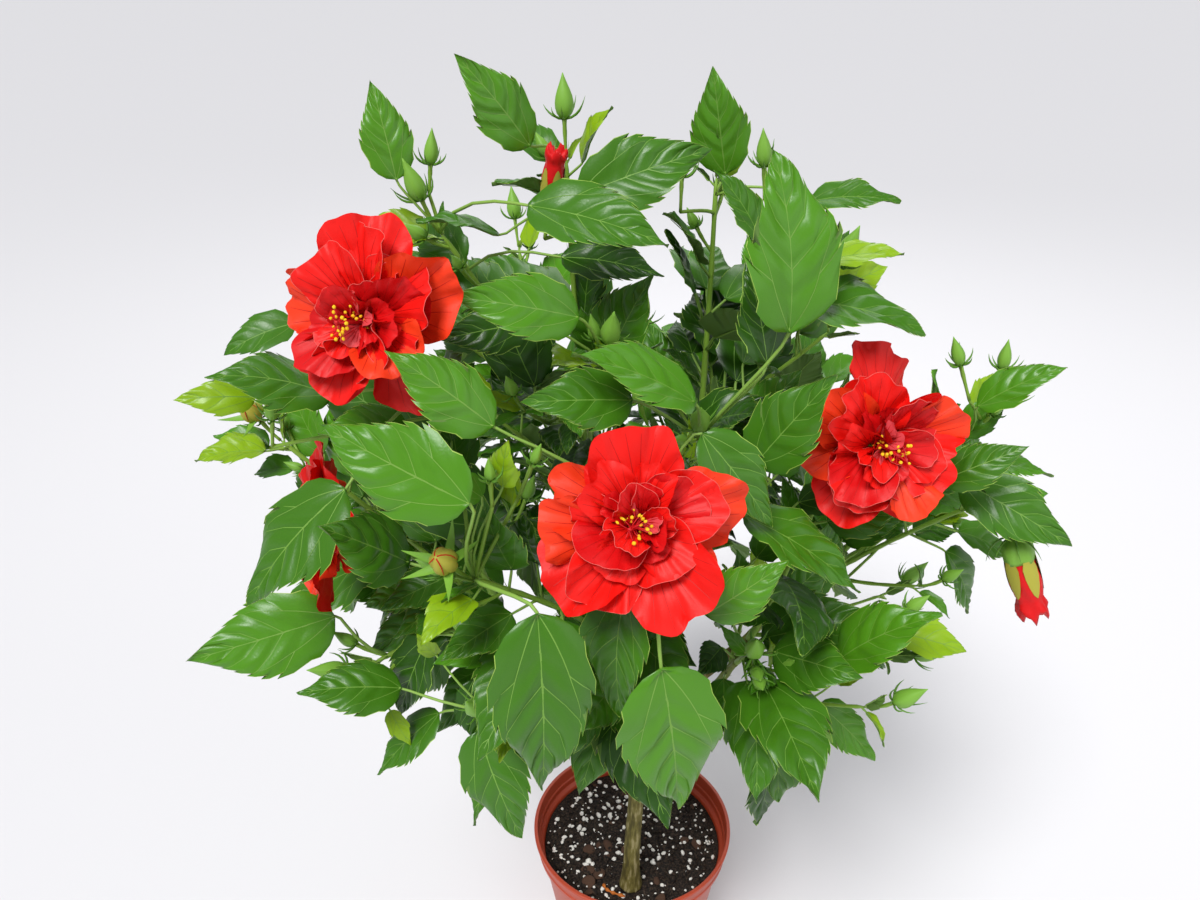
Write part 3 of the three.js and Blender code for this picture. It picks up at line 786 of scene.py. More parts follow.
def finerShoots(mass, parents, kept):
    shoots = []
    blades = np.concatenate([sheet["triangles"] for sheet in kept])
    for number, parent in enumerate(parents):
        count = int(parent.length() / finer["spacing"])
        for i in range(count):
            random = seeded(mass["seed"] * 4001 + number * 53 + i)
            t = 0.22 + 0.66 * (i + 0.6 * random()) / count
            root, way = parent.at(t), parent.way(t)
            for attempt in range(finer["attempts"]):
                away = around(way, 360 * random())
                reach = mix(*finer["reach"], random()) * (1 - 0.06 * attempt)
                aim = unit(way * 0.7 + away * 0.7 + up * 0.2)
                curve = Bend(root, root + away * reach * 0.3 + way * reach * 0.25, root + aim * reach)
                points = curve.at(np.array((0.3, 0.6, 0.8, 1)))
                if not inOwnSpace(points, mass) or inFrontOfBloom(points):
                    continue
                if pierces(pieceLines([curve]), blades):
                    continue
                shoots.append(curve)
                break
    return shoots


def fillingLeaves(mass, shoots, twigs, kept):
    frames = []
    for number, shoot in enumerate(shoots):
        steps = max(2, int(shoot.length() / finer["internode"]))
        for i in range(steps):
            random = seeded(mass["seed"] * 7001 + number * 89 + i)
            t = 0.12 + 0.86 * (i + random()) / steps
            if shoot.at(t)[2] > finer["openAbove"] and random() < finer["open"]:
                continue
            spot = {
                "root": shoot.at(t),
                "shoot": shoot.way(t),
                "turn": 360 * random(),
                "age": 1 - t,
                "size": mix(*finer["leafSizes"], random()) * (0.6 + 0.4 * min(1, 3 * (1 - t))),
            }
            frame = fittingLeaf(mass, spot, twigs, kept, random, coarse=False)
            if frame:
                frames.append(frame)
    return frames


# Leaves set where the crown's outline and its front want one: base, tip and tint of each.
# Their tints are partly painted light and shade: the brightest for leaves at the lit front and top, the
# darkest for leaves deep in the crown.
placedLeaves = [
    ((-65, -35, 705), (-100, -50, 752), "Bright"),
    ((-135, -50, 690), (-146, -38, 738), "Bright"),
    ((45, -5, 684), (34, -10, 742), "Bright"),
    ((66, -122, 632), (54, -100, 716), "Bright"),
    ((92, -22, 672), (140, -32, 674), "Mid"),
    ((-38, -60, 684), (32, -50, 706), "Mid"),
    ((-62, -90, 686), (6, -112, 672), "Mid"),
    ((-178, -128, 462), (-258, -148, 446), "Bright"),
    ((-140, -150, 428), (-194, -163, 436), "Mid"),
    ((-55, -222, 537), (-55, -230, 438), "Mid"),
    ((-98, -150, 396), (-74, -164, 322), "Mid"),
    ((2, -212, 497), (14, -204, 396), "Bright"),
    ((80, -130, 408), (86, -136, 322), "Mid"),
    ((108, -146, 446), (152, -164, 491), "Bright"),
    ((188, -70, 518), (250, -96, 488), "Mid"),
    ((194, -60, 562), (234, -72, 592), "Bright"),
    ((24, -196, 516), (60, -200, 550), "Bright"),
    ((-76, -174, 606), (-121, -176, 644), "Bright"),
    ((-84, -206, 584), (-150, -188, 614), "Bright"),
    ((-154, -152, 560), (-206, -170, 502), "Mid"),
    ((-38, -118, 638), (-98, -134, 654), "Bright"),
    ((18, -148, 606), (-40, -166, 638), "Bright"),
    ((-12, -146, 606), (-64, -166, 614), "Mid"),
    ((52, -140, 568), (84, -152, 622), "Mid"),
    ((72, -90, 636), (136, -116, 628), "Mid"),
    ((166, -95, 532), (206, -106, 560), "Mid"),
    ((112, -105, 374), (150, -116, 336), "Bright"),
    ((-122, -138, 398), (-160, -152, 362), "Mid"),
    ((-100, -138, 424), (-98, -150, 382), "ShadedDeep"),
    ((-14, -182, 522), (-16, -204, 458), "Mid"),
    ((22, -154, 592), (58, -162, 544), "Mid"),
    ((46, -148, 542), (106, -166, 506), "Mid"),
    ((-126, -130, 448), (-146, -136, 394), "ShadedDeep"),
    ((-126, -158, 520), (-156, -196, 566), "Mid"),
    ((-168, -110, 592), (-222, -132, 612), "Mid"),
    ((-208, -108, 590), (-246, -120, 594), "Young"),
    ((64, -28, 652), (36, -24, 690), "Mid"),
    ((88, -84, 656), (126, -94, 663), "Young"),
    ((58, -115, 612), (46, -98, 660), "ShadedDeep"),
    ((-186, -94, 626), (-222, -104, 612), "Mid"),
    ((-82, -56, 662), (-122, -74, 674), "Mid"),
    ((-48, -50, 648), (8, -60, 640), "ShadedDeep"),
    ((-64, -90, 625), (-110, -108, 622), "ShadedDeep"),
    ((-72, -180, 578), (-68, -188, 606), "Young"),
    ((-82, -182, 573), (-96, -192, 592), "Bright"),
    ((120, -108, 396), (134, -114, 404), "Young"),
    ((-118, -150, 452), (-126, -156, 472), "Young"),
    ((-150, -142, 404), (-138, -150, 384), "Young"),
]
# Small buds that stand out from the crown: foot of the stalk and foot of the bud.
placedBuds = [
    ((188, -60, 566), (179, -60, 588)),
    ((208, -50, 560), (208, -50, 581)),
    ((-120, -40, 680), (-118, -40, 696)),
    ((-200, -118, 566), (-196, -122, 584)),
    ((58, -68, 684), (56, -70, 701)),
    ((18, -30, 668), (18, -30, 687)),
    ((-77, -185, 570), (-77, -187, 585)),
    ((-66, -170, 566), (-58, -176, 588)),
    ((-92, -172, 560), (-100, -184, 572)),
]
# The bud that opens stands by the top left shoot. In the solids it ends the next shoot to the left.
openingBud = {"foot": (-58, -34, 654), "root": (-56, -38, 669), "tip": (-50, -42, 704), "seed": 23}
placing = {
    "showing": unit(vec(-0.1, -0.55, 0.8)),  # the way that the placed leaves face
    "roll": 64,
    "arch": (16, 44),
    "narrow": (0.76, 0.94),
    "clear": 24,
    "longestStalk": 120,
}


# Hollows in the crown's edge where none of the rule's leaves is kept: centre and radius.
hollows = [
    ((200, -75, 472), 46),
    ((195, 5, 390), 58),
    ((120, -135, 405), 52),
    ((160, -25, 335), 54),
    ((155, -90, 335), 52),
    ((172, -62, 424), 42),
    ((262, -24, 420), 40),
    ((134, -160, 470), 42),
    ((137, -122, 484), 14),
    ((77, -170, 471), 14),
    ((126, -56, 606), 30),
    ((-132, -40, 345), 46),
    ((-117, -150, 410), 46),
    ((-185, -110, 432), 26),
    ((-190, -62, 388), 42),
    ((-231, -2, 394), 20),
    ((-82, -8, 676), 24),
]


def inHollow(point):
    return any(np.linalg.norm(point - np.array(centre)) < radius for centre, radius in hollows)


def placedFrame(base, tip, spots, index):
    random = seeded(index * 37 + 11)
    base, tip = np.array(base, float), np.array(tip, float)
    chord = unit(tip - base)
    arch = mix(*placing["arch"], random())
    face = turned(squared(placing["showing"], chord), chord, placing["roll"] * (random() - 0.5))
    side = unit(np.cross(chord, face))
    half = math.radians(arch) / 2
    away = base - spots["points"]
    reach = np.linalg.norm(away, axis=1)
    cost = reach - 30 * (away @ chord) / np.maximum(reach, 1) + 1000 * (reach < 7)
    nearest = int(np.argmin(cost))
    if reach[nearest] > placing["longestStalk"]:
        return None
    way = spots["ways"][nearest]
    length = float(np.linalg.norm(tip - base)) * half / math.sin(half)
    return {
        "foot": spots["points"][nearest],
        "root": base,
        "stalkWay": unit(unit(away[nearest]) + way * 0.6),
        "direction": turned(chord, side, arch / 2),
        "face": turned(face, side, arch / 2),
        "length": length,
        "arch": arch,
        "age": 0.5,
        "narrow": mix(*placing["narrow"], random()),
        "size": length / leaf["length"],
        "shoot": way,
    }


def growShoots(mass):
    sides = [s for i, main in enumerate(mass["shoots"]) for s in sideShoots(mass, main, i)]
    shoots = mass["shoots"] + sides
    kept, twigs = [], pieceLines(shoots)
    frames = [f for i, shoot in enumerate(shoots) for f in leavesOn(mass, shoot, i, twigs, kept)]
    return {"mass": mass, "sides": sides, "shoots": shoots, "frames": frames, "kept": kept}


def placeLeaves(growth):
    lines = [shoot for grown in growth for shoot in grown["shoots"]]
    t = np.linspace(0.12, 1, 30)
    spots = {
        "points": np.concatenate([line.at(t) for line in lines]),
        "ways": np.concatenate([np.array([line.way(x) for x in t]) for line in lines]),
    }
    frames, sheets = [], []
    for index, (base, tip, tint) in enumerate(placedLeaves):
        frame = placedFrame(base, tip, spots, index)
        if frame is None:
            print(f"  no shoot within reach of the leaf at {base}")
            continue
        frame["tint"] = tint
        frames.append(frame)
        sheets.append(sheetOf(frame))
    blades = np.concatenate([sheet["triangles"] for sheet in sheets])
    edges = np.concatenate([sheet["lines"] for sheet in sheets])
    middles = np.array([sheet["middle"] for sheet in sheets])
    for grown in growth:  # what would touch a placed leaf gives way
        pairs = []
        for frame, sheet in zip(grown["frames"], grown["kept"]):
            gap = np.linalg.norm(middles - sheet["middle"], axis=1).min()
            touching = pierces(sheet["lines"], blades) or pierces(edges, sheet["triangles"])
            if gap > placing["clear"] and not touching and not inHollow(sheet["middle"]):
                pairs.append((frame, sheet))
        grown["frames"] = [frame for frame, _ in pairs]
        grown["kept"] = [sheet for _, sheet in pairs]
    return frames, sheets


def lastLeaf(shoot, feet):  # how far along a fine shoot its last leaf sits, or nothing
    t = np.linspace(0.12, 1, 28)
    gaps = np.linalg.norm(shoot.at(t)[:, None] - feet[None], axis=2).min(1)
    return float(t[gaps < finer["footReach"]].max(initial=0))


def growFiner(grown, sheets):
    mass, kept = grown["mass"], grown["kept"] + sheets
    coarse = len(grown["frames"])
    grown["fine"] = finerShoots(mass, grown["shoots"], kept)
    shoots = grown["shoots"] + grown["fine"]
    grown["frames"] += fillingLeaves(mass, shoots, pieceLines(shoots), kept)
    feet = np.array([frame["foot"] for frame in grown["frames"]])
    fine = [(shoot, lastLeaf(shoot, feet)) for shoot in grown["fine"]]
    grown["fine"] = [(shoot, last) for shoot, last in fine if last]
    between = len(grown["frames"]) - coarse
    print(f"  {mass['name']}: {len(shoots)} shoots, {coarse} leaves and {between} between them")


growth = [growShoots(mass) for mass in masses]
placed, placedSheets = placeLeaves(growth)
for grown in growth:
    growFiner(grown, placedSheets)
print("crown grown")

blade = {
    "teeth": 10,
    "firstTooth": 0.1,
    "lastTooth": 0.92,
    "toothDepth": 0.105,
    "toothLean": 0.022,
    "teethPerVein": 2,
    "firstVein": {10: 3, 6: 2, 4: 1},  # tooth where the first pair from the rib leaves, by number of teeth
    "baseVein": 0.34,  # share of the rib where the pair from the base has come near the edge
    "slope": 0.28,  # how far the side veins climb on their way to the edge
    "fold": (7, 20),
    "curl": 0.2,
    "quilt": 3.0,
    "wave": 2.6,
    "thickness": 0.9,
    "ribWidth": 1.3,
    "veinWidth": 0.55,
    "veinLift": 0.1,
    "edgeWidth": 0.5,
}


def ovate(s):  # share of the full width along a leaf with a round base and a drawn-out tip
    s = np.clip(s, 0, 1)
    shape = s**0.56 * (1 - s) ** 0.95 / 0.366
    return shape * (1 - 0.48 * np.clip((s - 0.52) / 0.48, 0, 1))


def sideVein(s):  # share of the half width where the vein from the base runs
    return np.clip(2.4 * s / np.maximum(ovate(s), 0.1), 0.12, 0.78)


def teethOf(frame):
    return blade["teeth"] if frame["size"] > 0.5 else 6 if frame["size"] > 0.34 else 4


def bladeRows(teeth):  # places along the rib, with the edge's cut and lean, and the tooth each is in
    rows = [(s, 1.0, 0.0, 0.0) for s in (0, 0.012, 0.035, 0.068)]
    step = (blade["lastTooth"] - blade["firstTooth"]) / teeth
    for k in range(teeth):
        for phase, edge, lean in ((0.0, 1 - blade["toothDepth"], 0.0), (0.5, 0.99, 0.4), (0.84, 1.03, 1.0)):
            start = blade["firstTooth"] + step * (k + phase)
            rows.append((start, edge, lean * blade["toothLean"], k + phase))
    rows += [(0.955, 0.96, 0.0, teeth + 0.3), (1.0, 1.0, 0.0, teeth + 1.0)]
    return np.array(rows).T


def bladePoints(frame, rib, v, tooth):
    s = rib + blade["slope"] * np.abs(v) * np.clip(rib / 0.2, 0, 1) * np.clip((1 - rib) / 0.4, 0, 1)
    a, length = math.radians(frame["arch"]), frame["length"]
    d, f = frame["direction"], frame["face"]
    side = unit(np.cross(d, f))
    look = frame["look"]
    half = length * leaf["widthShare"] / 2 * frame.get("narrow", 1)
    out = half * ovate(s) * v
    size = length / leaf["length"]
    # the blade folds up from its rib, curls down at its sides, swells between its veins and waves at its edge
    fold = np.tan(math.radians(look["fold"])) * (np.sqrt(out**2 + 0.6) - 0.77)
    curl = -blade["curl"] * look["curl"] * out**2 / half
    fromVein = tooth - blade["firstVein"][teethOf(frame)]
    quilt = np.abs(np.sin(math.pi * fromVein / blade["teethPerVein"])) * (1 - np.abs(v) ** 3)
    nearBase = np.clip(5 * (blade["baseVein"] - rib), 0, 1)
    valley = np.exp(-(((np.abs(v) - sideVein(rib)) / 0.14) ** 2)) * nearBase
    quilt = mix(quilt, 0.9 * (1 - np.abs(v) ** 3), np.clip(4 * (0.25 - rib), 0, 1)) * (1 - 0.8 * valley)
    quilt = blade["quilt"] * size * quilt * np.clip(3 * np.abs(v), 0, 1) * np.clip(5 * (1 - s), 0, 1)
    turn = 2 * math.pi * (look["waves"] * s + look["phase"] + 0.37 * (v > 0))
    wave = blade["wave"] * size * np.abs(v) ** 2.5 * np.sin(turn) * np.clip(3 * s, 0, 1)
    rise = (fold + curl + quilt + wave)[..., None]
    twist = np.radians(look["twist"]) * s
    normal = f * np.cos(a * s)[..., None] + d * np.sin(a * s)[..., None]
    cosine, sine = np.cos(twist)[..., None], np.sin(twist)[..., None]
    across, normal = side * cosine + normal * sine, normal * cosine - side * sine
    centre = frame["root"] + length / a * (d * np.sin(a * s)[..., None] - f * (1 - np.cos(a * s))[..., None])
    return centre + across * out[..., None] + normal * rise, normal


def leafLook(frame, index):
    random = seeded(index * 7919 + 5)
    return {
        "fold": mix(*blade["fold"], random()) + 14 * max(0, 0.25 - frame["age"]) / 0.25,
        "curl": 0.3 + 1.2 * random(),
        "waves": 1.4 + 1.6 * random(),
        "phase": random(),
        "twist": 24 * (random() - 0.5),
    }


def addLeaf(frame, top, under):
    teeth = teethOf(frame)
    ribs, edges, leans, tooth = bladeRows(teeth)
    vein = sideVein(ribs)
    whole = np.ones_like(vein)
    half = np.stack((vein / 2, vein, (1 + vein) / 2, whole) if teeth > 4 else (vein, whole), 1)
    w = np.concatenate((-half[:, ::-1], 0 * whole[:, None], half), 1)
    shape = w.shape
    rim = np.abs(w) > 0.99
    w = np.where(rim, w * edges[:, None], w)
    s = ribs[:, None] + np.where(rim, leans[:, None], 0.0)
    points, normals = bladePoints(frame, s, w, np.broadcast_to(tooth[:, None], shape))
    faces = gridFaces(*shape)
    top.add(points, faces)
    few = [0, 2, 4, 6, 8] if teeth > 4 else [0, 2, 4]
    inner = np.ones((len(ribs), len(few)))
    inner[:, (0, -1)] = 0
    inner[(0, -1), :] = 0
    lower = points[:, few] - normals[:, few] * (blade["thickness"] * inner)[..., None]
    under.add(lower, gridFaces(len(ribs), len(few))[:, ::-1])
    addVeins(frame, ribs, points, normals)
    if frame["size"] > 0.55:
        addEdge(points, normals, 0)
        addEdge(points, normals, -1)


def addVeins(frame, ribs, points, normals):  # the rib, a pair of veins from the base, and the side veins
    teeth = teethOf(frame)
    scale = frame["length"] / leaf["length"]
    middle = points.shape[1] // 2
    beside = middle // 2
    run = len(ribs) - 2
    addVein(veinHeap, points[:run, middle], normals[:run, middle], blade["ribWidth"] * scale)
    stop = int(np.searchsorted(ribs, blade["baseVein"]))
    for column in (middle - beside, middle + beside):
        addVein(veinHeap, points[:stop, column], normals[:stop, column], blade["veinWidth"] * scale * 1.1)
    first = blade["firstVein"][teeth]
    for tooth in range(first % 2 or 2, teeth, blade["teethPerVein"]):
        row, start = 4 + 3 * tooth, 0 if tooth >= first else beside
        for way in (-1, 1):
            cut = slice(middle + way * start, middle + way * middle or None, way)
            addVein(veinHeap, points[row, cut], normals[row, cut], blade["veinWidth"] * scale)


def addEdge(points, normals, column):  # the pale rim, just outside the blade's edge
    line = points[3:, column]
    out = unit(line - points[3:, 1 if column == 0 else -2]) * blade["edgeWidth"]
    out[-1] = 0
    lift = normals[3:, column] * 0.08
    rows = np.stack((line - out * 0.6 + lift, line + out * 0.4 + lift), 1)
    faces = gridFaces(len(line), 2)
    edgeHeap.add(rows, faces if column else faces[:, ::-1])


def addVein(heap, line, normals, width):  # a ribbon along a line of the blade's own points
    ways = unit(np.gradient(line, axis=0))
    out = unit(np.cross(ways, normals)) * width * np.linspace(1.0, 0.3, len(line))[:, None] / 2
    lift = normals * blade["veinLift"]
    heap.add(np.stack((line - out + lift, line + out + lift), 1), gridFaces(len(line), 2))


tops = {tint: Heap() for tint in leafFinish["tints"]}
veinHeap, edgeHeap, petioles, stipules = Heap(), Heap(), Heap(), Heap()
unders = {"Left": Heap(), "Right": Heap()}


def tintOf(frame, index):
    random = seeded(index * 131 + 7)
    if frame["age"] < 0.08 and frame["size"] < 0.6 and random() < 0.7:
        return "Young"
    # painted shade and light: the nearer a leaf lies to the crown's heart, the darker its tint, and the
    # farther out, the lighter; older leaves are darker too
    inward = np.linalg.norm((frame["root"] - crown["heart"]) * (1, 1, 0.8)) / 230
    lightAndAge = inward - 0.35 * frame["age"] + 0.35 * (random() - 0.5)
    return "ShadedDeep" if lightAndAge < 0.25 else "Mid" if lightAndAge < 0.62 else "Bright"


def addPetiole(frame):
    foot, root, way = frame["foot"], frame["root"], frame["stalkWay"]
    reach = np.linalg.norm(root - foot)
    curve = Bend(foot, foot + way * reach * 0.55, root - frame["direction"] * reach * 0.12, root)
    t = np.linspace(0, 1, 6)
    size = frame["length"] / leaf["length"]
    stalk = curve.at(t)
    below = np.linspace(0.05, 0.85, 4)
    rib, normals = bladePoints(frame, below, below * 0, below * 0)
    rib = rib - normals * (blade["thickness"] + 0.25)
    radii = np.concatenate((1.15 - 0.3 * t, mix(0.7, 0.18, below))) * (0.55 + 0.45 * size)
    addTube(petioles, np.concatenate((stalk, rib)), radii, 5)


stipule = {"length": 8, "radius": 0.3}


def addStipules(frame, index):
    random = seeded(index * 577 + 3)
    across = unit(np.cross(frame["shoot"], frame["stalkWay"]))
    for flip in (-1, 1):
        length = stipule["length"] * (0.6 + 0.7 * random())
        start = frame["foot"] + across * flip * 1.2
        aim = unit(across * flip * 0.5 + frame["stalkWay"] * 0.7 + frame["shoot"] * (0.2 + 0.5 * random()))
        curl = unit(frame["shoot"] * 0.8 + frame["stalkWay"] * (random() - 0.3))
        line = Bend(start, start + aim * length * 0.5, start + aim * length * 0.75 + curl * length * 0.4)
        addTube(stipules, line.points(3), stipule["radius"] * np.array((1, 0.8, 0.5, 0.1)), 3)


youngLeaves = {"count": 2, "length": (13, 28), "narrow": 0.55}


def tipLeaves(shoot, seed):  # small folded leaves about the end of a shoot
    random = seeded(seed)
    frames = []
    for k in range(youngLeaves["count"]):
        t = 0.99 - 0.05 * k * random()
        root, way = shoot.at(t), shoot.way(t)
        away = around(way, goldenAngle * k + 90 * random())
        length = mix(*youngLeaves["length"], random())
        direction = unit(way * 0.8 + away * (0.35 + 0.5 * random()) + up * 0.1)
        frames.append(
            {
                "foot": root,
                "root": root + unit(way + away) * (2 + 5 * random()),
                "stalkWay": unit(way + away),
                "direction": direction,
                "face": turned(squared(way - away * 0.6, direction), direction, 30 * (random() - 0.5)),
                "length": length,
                "arch": 10 + 50 * random(),
                "age": 0.0,
                "size": length / leaf["length"],
                "shoot": way,
                "narrow": youngLeaves["narrow"],
                # the brighter tint here is partly painted light, for young leaves at the crown's outer ends
                "tint": "Young" if random() < 0.6 else "Bright",
            }
        )
    return frames


frames = placed + [frame for grown in growth for frame in grown["frames"]]
for grown in growth:
    for number, shoot in enumerate(grown["shoots"]):
        frames += tipLeaves(shoot, grown["mass"]["seed"] * 331 + number)
for index, frame in enumerate(frames):
    frame["look"] = leafLook(frame, index)
    tint = frame.get("tint") or tintOf(frame, index)
    addLeaf(frame, tops[tint], unders["Left" if frame["root"][0] < 0 else "Right"])
    addPetiole(frame)
    if frame["age"] > 0:
        addStipules(frame, index)


def makeFoliage(name, heap, finish):
    makePiece(name, heap, finishes[finish], ["foliage_" + row["name"] for row in boughs])


for tint, heap in tops.items():
    makeFoliage("leaves" + tint, heap, "leaf" + tint)
for half, heap in unders.items():
    makeFoliage("leafUndersides" + half, heap, "underside")
makeFoliage("leafVeins", veinHeap, "vein")
makeFoliage("leafEdges", edgeHeap, "edge")
makeFoliage("leafStalks", petioles, "petiole")
makeFoliage("stipules", stipules, "stipule")
print(f"{len(frames)} leaves made")

shootLook = {
    "ripeTo": 0.42,  # share of a main shoot that has turned woody
    "node": 0.22,
    "nodeWidth": 3.5,
    "sides": 7,
    "step": 5,
    "side": (twig["sideRadius"] + 0.2, 1.0),
    "fine": (1.05, 0.75),
    "tip": 0.3,
}
ripeShoots, greenShoots = Heap(), Heap()


def addShoot(curve, radii, ripeTo, leafSpots, last=1.0):
    length = curve.length()
    rings = max(6, int(length / shootLook["step"]))
    t = np.linspace(0, last, rings + 1)
    radii = mix(*radii, t)
    for spot in leafSpots:  # a swelling under each leaf
        node = np.exp(-(((t - spot) * length / shootLook["nodeWidth"]) ** 2))
        radii = radii * (1 + shootLook["node"] * node)
    radii[-1] *= shootLook["tip"]
    centres = curve.at(t)
    ripe = int(ripeTo * rings)
    if ripe > 1:
        addTube(ripeShoots, centres[: ripe + 1], radii[: ripe + 1], shootLook["sides"])
    addTube(greenShoots, centres[ripe:], radii[ripe:], shootLook["sides"])


for grown in growth:
    for i, curve in enumerate(grown["mass"]["shoots"]):
        root = twig["forkRadius"] if i else twig["rootRadius"]
        addShoot(curve, (root, twig["tipRadius"]), shootLook["ripeTo"], np.linspace(0.12, 0.95, 9))
    for curve in grown["sides"]:
        addShoot(curve, shootLook["side"], 0, np.linspace(0.2, 0.95, 5))
    for curve, last in grown["fine"]:
        addShoot(curve, shootLook["fine"], 0, np.linspace(0.3, 0.95, 3), last)
makeFoliage("ripeShoots", ripeShoots, "woody")
makeFoliage("greenShoots", greenShoots, "green")
print("shoots made")

budLook = {"lobes": 0.07, "bracts": 7, "bractLength": 0.62, "bractRadius": 0.7}
calyxes, bracts, foldedPetals, budStalks = Heap(), Heap(), Heap(), Heap()


def budAxis(root, way, spec):
    neck = root + way * spec["stalk"] - up * spec["drop"] * spec["stalk"]
    return neck, unit(neck - root - up * spec["drop"] * spec["stalk"])


def addBracts(neck, direction, length, radius, seed):
    random = seeded(seed)
    for k in range(budLook["bracts"]):
        away = around(direction, 360 * k / budLook["bracts"] + 20 * random())
        reach = length * budLook["bractLength"] * (0.8 + 0.4 * random())
        start = neck + away * radius * 0.3
        middle = start + away * reach * 0.55 + direction * reach * 0.1
        end = start + away * reach * (0.55 + 0.25 * random()) + direction * reach * (0.5 + 0.3 * random())
        line = Bend(start, middle, end).points(5)
        addTube(bracts, line, budLook["bractRadius"] * np.array((0.7, 1, 1, 0.8, 0.5, 0.12)), 4)


def lobed(a):
    return 1 + budLook["lobes"] * np.cos(5 * a)


def addBud(root, way, spec, seed):
    neck, direction = budAxis(root, way, spec)
    stalk = Bend(root, root + way * spec["stalk"] * 0.6, neck)
    addTube(budStalks, stalk.points(6), (1.0, 0.95, 0.95, 1.05, 1.3, 1.2, 1.5), 7)
    t = np.array((0, 0.04, 0.12, 0.24, 0.36, 0.5, 0.64, 0.78, 0.9, 1))
    shape = np.array((0.3, 0.55, 0.86, 1.02, 1.04, 0.92, 0.7, 0.42, 0.2, 0.04))
    centres = neck + direction * (t * spec["length"])[:, None]
    addTube(calyxes, centres, shape * spec["radius"], 15, lobed)
    addBracts(neck, direction, spec["length"], spec["radius"], seed)


# Fat buds about to open, in a star of sepals, at the end of these shoots of these masses.
starBuds = {
    "at": [("front", 1), ("left", 0)],
    "radius": 6.8,
    "length": 17,
    "crease": 0.16,
    "seams": 4,
    "sepals": 5,
    "reach": 19,
    "width": 5,
}


def creased(a):  # a section of petals rolled one over the next
    return 1 - starBuds["crease"] * np.abs(np.cos(2.5 * a)) ** 8


def addStarBud(root, way, spec, seed):
    neck, direction = budAxis(root, way, spec)
    direction = unit(direction + vec(0, -0.8, 0.35))
    stalk = Bend(root, root + way * spec["stalk"] * 0.6, neck)
    addTube(budStalks, stalk.points(6), (1.1, 1.0, 1.0, 1.2, 1.4, 1.6, 2.4), 7)
    t = np.array((0, 0.06, 0.18, 0.34, 0.5, 0.66, 0.8, 0.92, 1))
    shape = np.array((0.3, 0.6, 0.88, 1.0, 1.0, 0.88, 0.66, 0.36, 0.08))
    centres = neck + direction * (t * starBuds["length"])[:, None]
    addTube(foldedPetals, centres, shape * starBuds["radius"], 30, creased)
    share = np.linspace(0.4, 0.99, 8)
    for k in range(starBuds["seams"]):  # between the rolled petals: dark lines, as painted shade of the creases
        ways = np.array([around(direction, 90 * k + 45 * x) for x in share])
        seam = neck + direction * (share * starBuds["length"])[:, None]
        seam = seam + ways * (np.interp(share, t, shape) * starBuds["radius"] * 0.99)[:, None]
        addTube(petalCreaseShadeLines, seam, np.linspace(0.12, 0.4, 8), 4)
    for k in range(starBuds["sepals"]):
        away = around(direction, 360 * k / starBuds["sepals"] + 20 * math.sin(2 * k))
        across = np.cross(direction, away) * starBuds["width"] / 2
        rows = []
        for share, wide in ((0, 0.7), (0.25, 1.0), (0.5, 0.75), (0.75, 0.4), (1, 0.03)):
            centre = neck + away * (2 + share * starBuds["reach"]) + direction * (3 + 9 * share**1.6)
            lift = direction * wide * 1.2
            rows.append((centre - across * wide + lift, centre, centre + across * wide + lift))
        calyxes.add(np.array(rows), gridFaces(5, 3))
        calyxes.add(np.array(rows) - direction * 0.3, gridFaces(5, 3)[:, ::-1])
    addBracts(neck - direction * 1.5, direction, starBuds["length"], starBuds["radius"], seed)


smallBuds = {"length": (11, 17), "share": 0.22, "stalk": (12, 26), "perTip": 2}


def addSmallBuds(shoot, seed):  # buds of different ages on thin stalks below the end of a shoot
    random = seeded(seed)
    for k in range(smallBuds["perTip"]):
        t = 0.97 - 0.07 * k - 0.04 * random()
        way = shoot.way(t)
        aim = unit(way * 0.9 + around(way, 160 * k + 200 * random()) * 0.8)
        length = mix(*smallBuds["length"], random())
        stalk = mix(*smallBuds["stalk"], random())
        spec = {"length": length, "radius": length * smallBuds["share"], "stalk": stalk, "drop": -0.2}
        addBud(shoot.at(t), aim, spec, seed + k)


calyxLobe = (  # along a lobe: share of the bud's length, share of the lobe's width, and how far out it lies
    (0.27, 0.7, 0.87),
    (0.36, 1.0, 0.9),
    (0.48, 0.95, 0.93),
    (0.6, 0.7, 0.92),
    (0.69, 0.36, 0.88),
    (0.73, 0.05, 0.87),
)


rolledPetals = {
    "rows": 22,
    "sides": 30,
    "foot": 0.15,
    "heart": 0.86,
    "twist": 2.2,
    "ridge": 0.03,
    "jag": 0.06,
}


